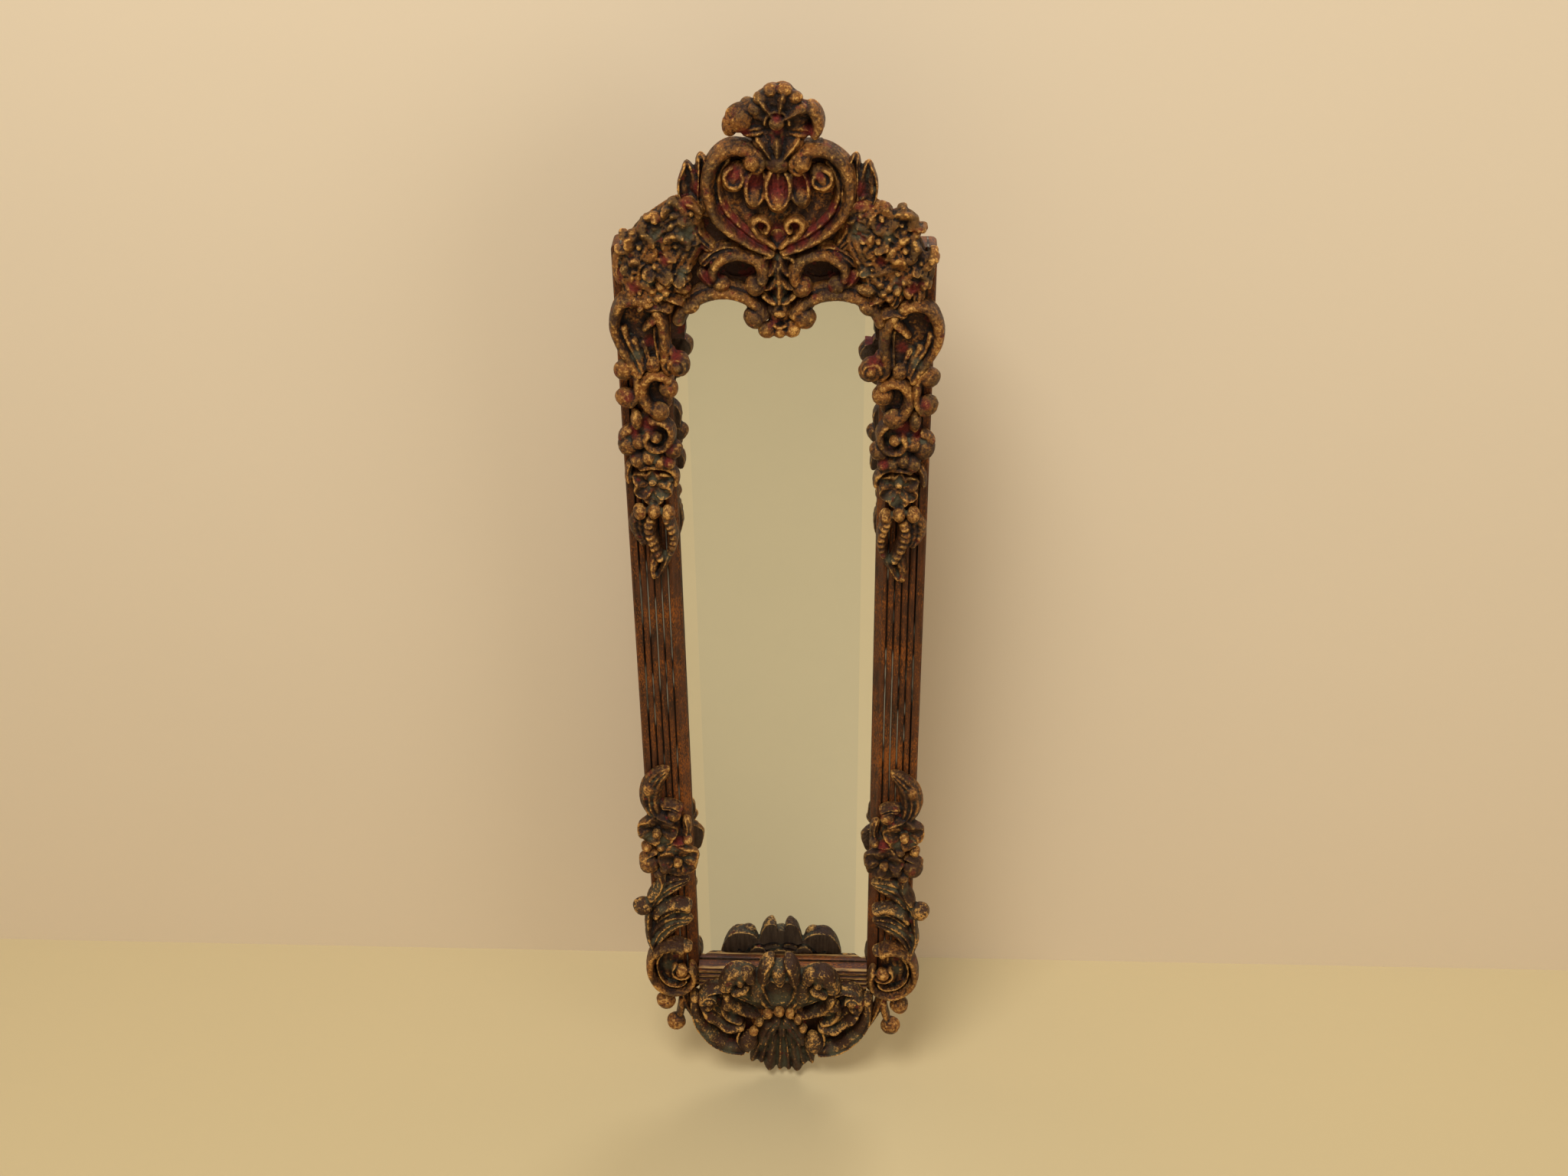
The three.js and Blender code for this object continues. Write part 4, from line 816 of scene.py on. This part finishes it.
def stile_drop(c):
    c.sweep([(100, -108), (99, -122), (98, -140), (100, -156)], (26, 34), 5.5)
    c.ball(107, -114, 5, 5.0, 8, tall=9.5, swirl=0.1)
    c.sweep([(99, -117), (90, -115), (82, -121), (81.5, -131), (88, -139.5), (97, -139), (101, -131),
             (96, -125)], (8, 6.5), (12, 14))
    c.ball(93, -129, 8, 4.6, 6)
    c.ball(106.5, -133.5, 6, 6.8, 8, swirl=0.1)
    c.ball(115, -138, 4, 9.2, 8.5, tall=9.4, swirl=0.08)
    c.ball(80.5, -141, 3.5, 8.4, 8.5, swirl=0.08)
    c.sweep([(110, -124), (117, -128), (121, -136)], 8, 9)
    for x, z, r in ((99, -147, 7), (107, -150, 7.2), (90, -151, 6), (83, -152, 5)):
        c.ball(x, z, 6, r, 8, swirl=0.15)
    c.sweep([(79, -174), (79, -163), (86, -156.5), (97, -156), (108, -158)], 5.5, 11)
    c.sweep([(112, -153), (116, -162), (116, -174)], 6, 9, ribbed(2))
    for a, reach, wide in ((155, 17, 16), (25, 17, 16), (215, 18, 16), (-35, 18, 16), (-90, 20, 19),
                           (90, 12, 14)):
        c.sweep([polar(97, -173, r, math.radians(a)) for r in (2, 0.6 * reach, reach)],
                bulge(0.45 * wide, 0.6 * wide, 0.12, 0.7), (7, 14), rims(0.4), ends=(0.3, 0.6))
    c.ball(97, -170, 6, 3.8, 5, swirl=0.2)
    for x, z in ((86.5, -199), (97.5, -197), (108.5, -198)):
        c.ball(x, z, 6, 5.6, 8, tall=7, swirl=0.1)
    slim = lambda t: 2 * t - 5 * t**3
    banded = lambda t: 13 - 3 * t + 1.1 * np.sin(16 * np.pi * t)
    c.sweep([(108, -200), (112, -210), (111, -221), (106, -231)], bulge(7, 8, 0.1, 0.9), 9, veined(5, 0.3))
    c.sweep([(100, -203), (103, -216), (99, -232), (93, -246)], lambda t: 10 + slim(t), banded)
    c.sweep([(90, -199), (86, -211), (84, -224), (88, -240)], lambda t: 9 + slim(t), banded)
    c.sweep([(97, -238), (101, -250), (100, -264)], (12, 5), 7, veined(4, 0.3))
    c.sweep([(88, -238), (93, -252), (98, -262)], (8, 4), 8, ribbed(2, 0.25))


both_sides("husk", husk, 0, UMBER, red=[(96, -52, 6), (92, -34, 4)],
           green=[(107, -62, 6)], shift=(2.5, 4))
both_sides("inner_stem", inner_stem, 0, GILT, red=[(74, -60, 6)], shift=(0, 3))
both_sides("outer_curl", outer_curl, 0, GILT, red=[(115, -96, 5)], shift=(3, 4))
both_sides("inner_curl", inner_curl, 0, GILT, shift=(1, 4.5))
both_sides("stile_drop", stile_drop, 0, LEAF,
           red=[(98, -119, 8), (110, -125, 5), (84, -150, 5)],
           green=[(92, -184, 8), (96, -168, 6), (90, -240, 6)])

# ---- lower stiles


def garland(c):
    c.sweep([(97, -466), (105, -472), (114, -486), (116, -502), (110, -518)], bulge(8, 13, 0.05, 0.8),
            (7, 12), ribbed(4, 0.25), ends=(0.9, 0.4))
    c.ball(116, -487, 4, 6.6, 6.5, tall=10, swirl=0.1)
    c.sweep([(104, -508), (104, -530), (98, -555), (101, -590)], (32, 26), 6)
    c.blossom(110, -534, 9, 18, petals=5, turn=0.45, eye=0.26, cup=0.42, ragged=0.16)
    c.blossom(93, -568, 9, 18.5, petals=5, turn=0.1, eye=0.24, cup=0.42, ragged=0.16)
    c.sweep([(88, -512), (97, -506), (107, -507)], 10, 11, ribbed(3, 0.3))
    c.ball(95, -515, 6, 7, 6, swirl=0.15)
    c.sweep([(94, -524), (103, -519), (112, -515)], 8, 13, ribbed(2, 0.25))
    c.sweep([(84, -546), (92, -548), (101, -546)], 8, 11, ribbed(2, 0.25))
    for x, z, r in ((105, -578, 6), (111, -584, 5.5), (108, -553, 5), (121, -553, 5), (84, -543, 4.5)):
        c.ball(x, z, 6, r, 7, swirl=0.12)
    c.ball(119.5, -574, 6, 8.6, 8.5, tall=9.8, swirl=0.06)
    c.sweep([(110, -560), (119, -564), (127, -572)], 7, 11, ribbed(2))
    c.sweep([(86, -520), (84, -532), (88, -545)], 8, 8, ribbed(2, 0.3))


def twisted_leaf(c):
    c.sweep([(113, -584), (110, -598), (114, -612), (122, -622)], (10, 12), 11, ribbed(2))
    c.ball(127.5, -628, 5, 9.2, 9, swirl=0.06)
    swell = lambda low, high: bulge(low, high, 0.08, 0.8)
    c.sweep([(118, -628), (111, -612), (100, -602), (83, -597)], swell(6, 18), (10, 8), ribbed(4, 0.3),
            ends=(0.6, 0.8))
    c.sweep([(118, -642), (110, -630), (98, -624.5), (83, -629)], swell(5, 5), 13, ends=(0.8, 0.8))
    c.sweep([(117, -650), (108, -640), (98, -634), (85, -636)], swell(6, 5), 7, ribbed(2, 0.25))
    c.sweep([(120, -680), (114, -661), (102, -649), (83, -645)], swell(6, 19), (10, 8), ribbed(4, 0.3),
            ends=(0.6, 0.8))
    c.sweep([(119, -692), (111, -681), (99, -677), (85, -681)], swell(5, 4.5), 13, ends=(0.8, 0.8))
    c.sweep([(122, -632), (123.5, -650), (123, -668), (119, -684)], 7, 12, ribbed(2, 0.15))


def side_scroll(c):
    c.sweep([(91, -681), (98, -675), (108, -675.5), (118, -683), (123.5, -697), (124, -712), (117.5, -726),
             (105, -734), (93, -732), (85, -723), (83.5, -712), (87, -702)], (8.5, 7), (17, 14.5))
    c.sweep([(98, -681), (108, -682), (115.5, -691), (118, -704), (115, -717), (106, -726), (95, -726),
             (90, -719)], 2.8, 11)
    c.sweep([(104, -683), (108, -705), (104, -728)], 30, 5, ribbed(5, 0.3))
    c.sweep(coil(95, -706, 10, 8.5, 150, 420, 10), (5, 4), (12, 14))
    c.ball(95, -705.5, 9, 6.8, 8, swirl=0.12)


def corner_volute(c):
    c.sweep([(97, -730), (94, -746), (88, -766), (78, -788)], (13, 5), 9, ribbed(2, 0.25), ends=(0.4, 0.9))
    c.sweep([(92, -738), (101, -740), (109, -744)], 9, 10, ribbed(2))
    c.sweep([(96, -744), (97, -758), (100, -771)], 7.5, 10)
    c.ball(111, -748.5, 6, 9.3, 9, swirl=0.06)
    c.ball(103, -777.5, 6, 9.3, 9, swirl=0.06)


both_sides("garland", garland, 0, LEAF, red=[(92, -548, 7), (86, -512, 6)],
           green=[(118, -540, 7), (104, -545, 6)])
both_sides("twisted_leaf", twisted_leaf, 0, FOOT,
           green=[(92, -612, 6), (108, -628, 7), (112, -600, 5)])
both_sides("side_scroll", side_scroll, 0, UMBER, green=[(107, -705, 8)])
both_sides("corner_volute", corner_volute, 0, UMBER)

# ---- foot


def swag(c):
    c.sweep([(80, -738), (81, -758), (76, -779), (64, -798), (48, -809), (31, -811)], (10, 18), (15, 13),
            ends=(0.4, 0.3))
    c.sweep([(82.5, -742), (84, -760), (79.5, -781), (67, -801), (50, -813), (33, -815)], 3.4, 15, across=9)
    c.sweep([(71, -744), (69, -762), (60, -779), (46, -790), (36, -795)], (9, 11), 8, ribbed(1))
    c.sweep([(66, -744), (62, -762), (50, -778), (38, -788)], (16, 12), 6, ribbed(2))
    c.ball(29.5, -799, 9, 8.8, 9, tall=13.5, lean=-8)
    c.sweep([(37, -784), (40, -794), (37, -806), (29, -814)], 4, 14)


def ruffled_leaf(c):
    c.sweep([(70, -736), (74, -748), (70, -761), (60, -773), (47, -782), (33, -779)], waves(9, 1.5, 2.5),
            waves(16, 1.5, 3))
    c.sweep([(60, -741), (51, -755), (36, -767)], (24, 22), 8, ribbed(3))
    c.sweep([(50, -744), (54, -758), (47, -770), (34, -774)], 7, 14)
    c.sweep([(46, -737), (57, -730), (68, -733), (74, -744)], 10, 16, ribbed(2))
    c.ball(66.5, -741, 11, 6.8, 7.5, swirl=0.1)
    c.sweep(coil(66.5, -741, 6.6, 5.5, 200, -60, 9), 2.8, 17.5, across=9)
    c.ball(49, -746, 12, 6.2, 7.5, tall=8, swirl=0.1)
    c.ball(41, -752, 12, 5, 6, tall=6)
    c.ball(69, -753, 8, 5.6, 7)


def shell(c):
    mid = FOOT_X - 1
    c.sweep([(mid, -764), (mid, -735), (mid, -708)], bulge(40, 28, 0, 0.75), 13, base=2, ends=(0.3, 0.3))
    c.sweep([(mid, -716), (mid, -700), (mid, -688)], 30, 19, base=9, ends=(0.4, 0.3))
    c.sweep([(mid, -766), (mid, -746), (mid, -726), (mid, -706)], (18, 34), lambda t: 9 + 10 * t**3,
            ribbed(5), ends=(0.3, 0.2))
    c.sweep([(mid, -689), (mid, -700), (mid, -714)], (20, 14), 25, base=8, ends=(0.4, 0.8))
    for side in (-1, 1):
        at = lambda x, z: (mid + side * x, z)
        c.sweep([at(13, -714), at(14, -701), at(11.5, -689), at(5, -682)], (14, 12.5), bulge(26, 3),
                ribbed(2, 0.12), base=8, ends=(0.6, 0.6))
        c.sweep([at(0, -716), at(6, -706.5), at(12.5, -708), at(15.5, -720), at(11, -737), at(5, -751)],
                (7, 4.5), (24, 13), base=4, ends=(0.6, 0.9))
        c.sweep([at(5, -764), at(14, -746), at(21, -724)], 7, (10, 21))
        c.sweep([at(8, -766), at(20, -750), at(34, -735), at(41, -724)], (12, 31), lambda t: 8 + 10 * t**2,
                ribbed(5, 0.22), ends=(0.3, 0.2))
        c.sweep([at(8, -768), at(29, -762), at(44, -748), at(51, -728)], (7, 9.5), (10, 24),
                ends=(0.6, 0.5))
        c.sweep([at(50, -726), at(48.5, -710), at(40, -699), at(30, -701), at(25.5, -714)], (16, 13),
                bulge(26, 2), ribbed(1, 0.15), base=8, ends=(0.5, 0.6))
        c.sweep([at(39, -697), at(37, -706), at(36, -716)], 11, 25, base=8)
        c.sweep([at(21, -742), at(21, -722), at(22, -705)], 18, 19, base=2, ends=(0.3, 0.5))
        c.sweep([at(46, -727), at(37, -721), at(28, -720)], 8, 26, base=8, ends=(0.8, 0.8))
        c.ball(*at(31, -699), 18, 7.5, 8, tall=8)
        c.ball(*at(45, -707), 17, 8, 8)


def berries(c):
    places = [(-27.5, -779), (-22.5, -766), (-14.5, -755), (-3.5, -751.5), (7.5, -754), (15.5, -762),
              (20.5, -774)]
    c.sweep(places, 9, 11, ribbed(2))
    for k, (x, z) in enumerate(places):
        r = (4.6, 4.4, 5.4, 5.4, 4.8, 4.4, 4.4)[k]
        c.ball(x, z, 15.5, r, 5.5, tall=1.12 * r, swirl=0.08)


def tail_leaf(c):
    c.sweep([(FOOT_X, -784), (FOOT_X, -806), (FOOT_X, -832)], (30, 60), 6, ribbed(5, 0.3), ends=(0.3, 0.2))
    pleats = ((-27, -832, 15), (-14, -840, 16), (0, -842, 15), (13, -840, 16), (25, -832, 15))
    for k, (x, z, wide) in enumerate(pleats):
        spread = x - FOOT_X
        crest = 9 + 2 * (k % 2)
        c.sweep([(FOOT_X + 0.45 * spread, -788), (FOOT_X + 0.8 * spread, -812), (x, z)],
                (0.55 * wide, 1.05 * wide), (crest, crest + 2.5), keel if k % 2 else cove, ends=(0.3, 0.22))
    for side in (-1, 1):
        at = lambda x, z: (FOOT_X + side * x, z)
        c.sweep([at(1, -765), at(8, -773), at(15, -788), at(19, -806)], bulge(6, 11, 0.15, 0.72),
                (19, 15.5), veined(4, 0.22), ends=(0.5, 0.9))
        c.sweep([at(2, -772), at(7, -784), at(9, -802)], (8, 5), 14.5, ribbed(2, 0.25))
    c.sweep([(FOOT_X, -766), (FOOT_X, -778), (FOOT_X, -794)], (15, 9), 15.5, veined(3, 0.2),
            ends=(0.4, 0.8))


both_sides("swag", swag, FOOT_X, FOOT,
           green=[(72, -790, 10), (50, -810, 9), (60, -785, 8)])
both_sides("ruffled_leaf", ruffled_leaf, FOOT_X, FOOT, red=[(80, -742, 5)],
           green=[(58, -735, 7), (44, -764, 7)])
carve("shell", drawn(shell), FOOT,
      green=[(-30, -742, 17), (25, -742, 17), (-2.5, -738, 15), (-2.5, -690, 5)])
carve("berries", drawn(berries), GILT)
carve("tail_leaf", drawn(tail_leaf), SHADE)


# ---- plain materials


def paint(material, *names):
    for name in names:
        nodes[name].data.materials.clear()
        nodes[name].data.materials.append(material)


def silvered_glass():
    """Silvered plate: faint haze, and a paler bevel where the glass is thin."""
    m = Nodes("silvered_glass")
    haze = m.noise(9, 2, 0.5)
    normal = m.node("SeparateXYZ", i0=m.node("NewGeometry").outputs["Normal"])
    slope = m.most(m.math("ABSOLUTE", normal.outputs["X"]), m.math("ABSOLUTE", normal.outputs["Z"]))
    plate = m.mix(haze, (0.745, 0.790, 0.840), (0.775, 0.815, 0.865))
    colour = m.mix(m.ramp(slope, 0.02, 0.05), plate, (0.84, 0.86, 0.88))
    return m.finish(Base_Color=colour, Metallic=1.0, Roughness=m.ramp(haze, 0.3, 0.7, 0.012, 0.03))


def reeded_wood(name, axis, first, pitch, low, high, ridges=0.0):
    """Dark patina with copper speckle; painted shade darkens the grooves, and a broken pale line of painted
    highlight lies down their middle. The grooves repeat along the axis, every pitch from the first, between
    low and high, in millimetres from the middle. ridges is the share of gold on the reeds, partly gilding
    and partly painted highlight, which keeps the groove highlight away."""
    m = Nodes(name)
    coords = m.node("SeparateXYZ", i0=m.node("TexCoord").outputs["Object"])
    across = m.math("ABSOLUTE", coords.outputs[axis])
    stretch = (1, 1, 0.16) if axis == "X" else (0.16, 1, 1)
    speck_stretch = (1, 1, 0.35) if axis == "X" else (0.35, 1, 1)
    streak = m.noise(260, 4, 0.6, stretch=stretch, offset=2)
    speck = m.noise(1000, 4, 0.7, stretch=speck_stretch, offset=5)
    cloud = m.noise(26, 3, 0.6, offset=8)
    turn = m.math("DIVIDE", m.minus(across, first * MM), pitch * MM)
    off = m.math("ABSOLUTE", m.minus(turn, m.math("ROUND", turn)))
    inside = m.times(m.math("GREATER_THAN", across, low * MM), m.math("LESS_THAN", across, high * MM))

    colour = m.mix(m.ramp(streak, 0.3, 0.65), PATINA, PATINA_WORN)
    copper = m.ramp(m.plus(speck, m.times(cloud, 0.6)), 0.79, 0.93)
    colour = m.mix(m.times(copper, 0.9), colour, COPPER)
    # Gold on the reeds' crests: partly gilding, partly painted highlight.
    crest = m.times(m.ramp(off, 0.22, 0.36), m.times(inside, ridges))
    colour = m.mix(m.times(crest, m.ramp(streak, 0.35, 0.6)), colour, REED_GOLD_AND_HIGHLIGHT)
    # Painted shade: each groove darkens to near black.
    colour = m.mix(m.times(m.ramp(off, 0.2, 0.05), inside), colour, shade(DARK, 0.6))
    # Painted highlight: a broken pale line down the middle of each groove.
    filler = m.times(m.ramp(off, 0.10, 0.04), inside)
    filler = m.times(filler, m.ramp(m.noise(70, 3, 0.7, stretch=stretch, offset=12), 0.50, 0.58))
    colour = m.mix(m.times(filler, 1.0 - ridges), colour, GROOVE_HIGHLIGHT)
    chip = m.times(m.ramp(m.noise(330, 2, 0.5, offset=21), 0.76, 0.78), inside)
    colour = m.mix(chip, colour, CHALK)

    rough = m.ramp(speck, 0.3, 0.7, 0.34, 0.55)
    normal = m.bump(speck, 0.6, 0.0008, m.bump(streak, 0.5, 0.0008))
    colour, metal, rough = wood_back(m, colour, m.times(copper, 0.35), rough)
    return m.finish(Base_Color=colour, Metallic=metal, Roughness=rough, Normal=normal,
                    Specular_IOR_Level=0.25)


def plain_wood(name, dark, light, stretch, scale=90):
    m = Nodes(name)
    grain = m.noise(scale, 5, 0.65, stretch=stretch, offset=3)
    fleck = m.noise(5 * scale, 3, 0.6, stretch=stretch, offset=6)
    colour = m.mix(m.ramp(grain, 0.3, 0.7), dark, light)
    colour = m.mix(m.ramp(fleck, 0.55, 0.8, 0, 0.5), colour, shade(dark, 0.5))
    rough = m.ramp(fleck, 0.3, 0.7, 0.62, 0.85)
    return m.finish(Base_Color=colour, Roughness=rough, Normal=m.bump(grain, 0.4, 0.0006))


def zinc_steel():
    m = Nodes("zinc_steel")
    cloud = m.noise(240, 4, 0.6)
    scratch = m.noise(900, 2, 0.5, stretch=(1, 1, 0.1))
    colour = m.mix(m.ramp(cloud, 0.35, 0.7), (0.50, 0.49, 0.46), (0.68, 0.66, 0.61))
    rough = m.ramp(cloud, 0.3, 0.7, 0.28, 0.45)
    return m.finish(Base_Color=colour, Metallic=1.0, Roughness=rough, Normal=m.bump(scratch, 0.2, 0.0002))


def soften(width, *names):
    """Rounds the hard edges of CAD pieces."""
    for name in names:
        bevel = nodes[name].modifiers.new("edge", "BEVEL")
        bevel.width = width * MM
        bevel.segments = 2
        bevel.limit_method = "ANGLE"
        bevel.angle_limit = math.radians(35)


def sides(*names):
    return [f"{name}_{side}" for name in names for side in ("left", "right")]


UPRIGHT_STRIPS = sides("retainer")
CROSS_STRIPS = ["retainer_top", "retainer_bottom"]
BOARDS = ["crest_board", "foot_board"]
PINE = (0.330, 0.195, 0.085), (0.480, 0.310, 0.150)

paint(silvered_glass(), "mirror_glass")
paint(reeded_wood("reeded_stile", "X", 89.9, 5.79, 88.5, 114.5), *sides("stile"))
paint(reeded_wood("reeded_rail", "Z", 714.7, 5.86, 712.0, 740.0, ridges=0.85), "bottom_rail")
paint(RECESS, "top_rail", *BOARDS)  # the boards behind the carving
paint(plain_wood("hardboard", (0.110, 0.062, 0.030), (0.165, 0.098, 0.050), (1, 1, 1), 300),
      "backing_board")
paint(plain_wood("pine_strip", *PINE, (8, 8, 0.5)), *UPRIGHT_STRIPS)
paint(plain_wood("pine_strip_across", *PINE, (0.5, 8, 8)), *CROSS_STRIPS)
paint(zinc_steel(), *sides("hanger_strap", "hanger_ring", "hanger_screw"))
soften(0.4, *UPRIGHT_STRIPS, *CROSS_STRIPS, *BOARDS)
soften(0.25, *sides("hanger_strap", "hanger_screw"))
for name in sides("hanger_ring"):
    round_wire = nodes[name].modifiers.new("round", "SUBSURF")
    round_wire.levels = round_wire.render_levels = 2
    nodes[name].data.shade_smooth()

# ---- stage, light and camera


def plane(name, corners, material):
    mesh = bpy.data.meshes.new(name)
    mesh.from_pydata(corners, [], [(0, 1, 2, 3)])
    mesh.materials.append(material)
    obj = stand(name, mesh)
    return obj


def matt(name, colour, one_sided=False):
    """Plain matt paint. A one-sided surface can be looked through from behind."""
    m = Nodes(name)
    tint = m.mix(m.noise(3, 2), colour, shade(colour, 0.97))
    if not one_sided:
        return m.finish("BsdfDiffuse", Color=tint)
    front = m.node("BsdfDiffuse", Color=tint).outputs[0]
    clear = m.node("BsdfTransparent").outputs[0]
    return m.finish("MixShader", i0=m.node("NewGeometry").outputs["Backfacing"], i1=front, i2=clear)


FLOOR_Z = -0.8495
WALL_Y = 0.137
WALL_TOP = 2.4
REACH = 4.0


def reaching(low, high):
    """Corners of a rectangle that reaches far to both sides."""
    return [(-REACH, low), (REACH, low), (REACH, high), (-REACH, high)]


floor_corners = [(x, y, FLOOR_Z) for x, y in reaching(-REACH, REACH)]
wall_corners = [(x, WALL_Y, z) for x, z in reaching(FLOOR_Z, WALL_TOP)]
plane("floor", floor_corners, matt("pale_floor", (0.55, 0.44, 0.245)))
wall = plane("wall", wall_corners, matt("pale_wall", (0.785, 0.645, 0.455), one_sided=True))
wall.visible_shadow = False


def aim(obj, right, up, back, at):
    """Places a lamp or a camera, which looks against its own z axis."""
    obj.matrix_world = Matrix([[right[i], up[i], back[i], at[i]] for i in range(3)] + [[0, 0, 0, 1]])


def soft_lamp(name, at, target, size, power):
    data = bpy.data.lights.new(name, "AREA")
    data.shape = "DISK"
    data.size = size
    data.energy = power
    back = np.subtract(at, target)
    back /= np.linalg.norm(back)
    right = np.cross((0, 0, 1), back)
    right /= np.linalg.norm(right)
    aim(stand(name, data), right, np.cross(back, right), back, at)


soft_lamp("key", (-0.5, -1.3, 2.3), (0, 0, -0.35), 1.3, 62)
soft_lamp("fill", (1.8, -1.6, 0.6), (0, 0, -0.4), 1.2, 9)
soft_lamp("back", (0.8, 1.9, 1.0), (0, 0, -0.4), 1.2, 20)

world = bpy.data.worlds.new("room")
bpy.context.scene.world = world
world.use_nodes = True
background = world.node_tree.nodes["Background"]
background.inputs["Color"].default_value = (0.95, 0.90, 0.82, 1)
background.inputs["Strength"].default_value = 0.46

# The camera of the photograph, solved from the frame's edges and their vanishing points
camera_data = bpy.data.cameras.new("photo_camera")
camera_data.sensor_width = 36
camera_data.lens = 44.3
camera_data.clip_end = 50
camera = stand("photo_camera", camera_data)
right = (0.9993, 0.036429, -0.008485)
up = (-0.0134906, 0.562595, 0.826623)
back = (0.0348868, -0.825930, 0.562693)
aim(camera, right, up, back, (0.0603, -1.3272, 0.6160))
bpy.context.scene.camera = camera
bpy.context.scene.view_settings.view_transform = "Standard"
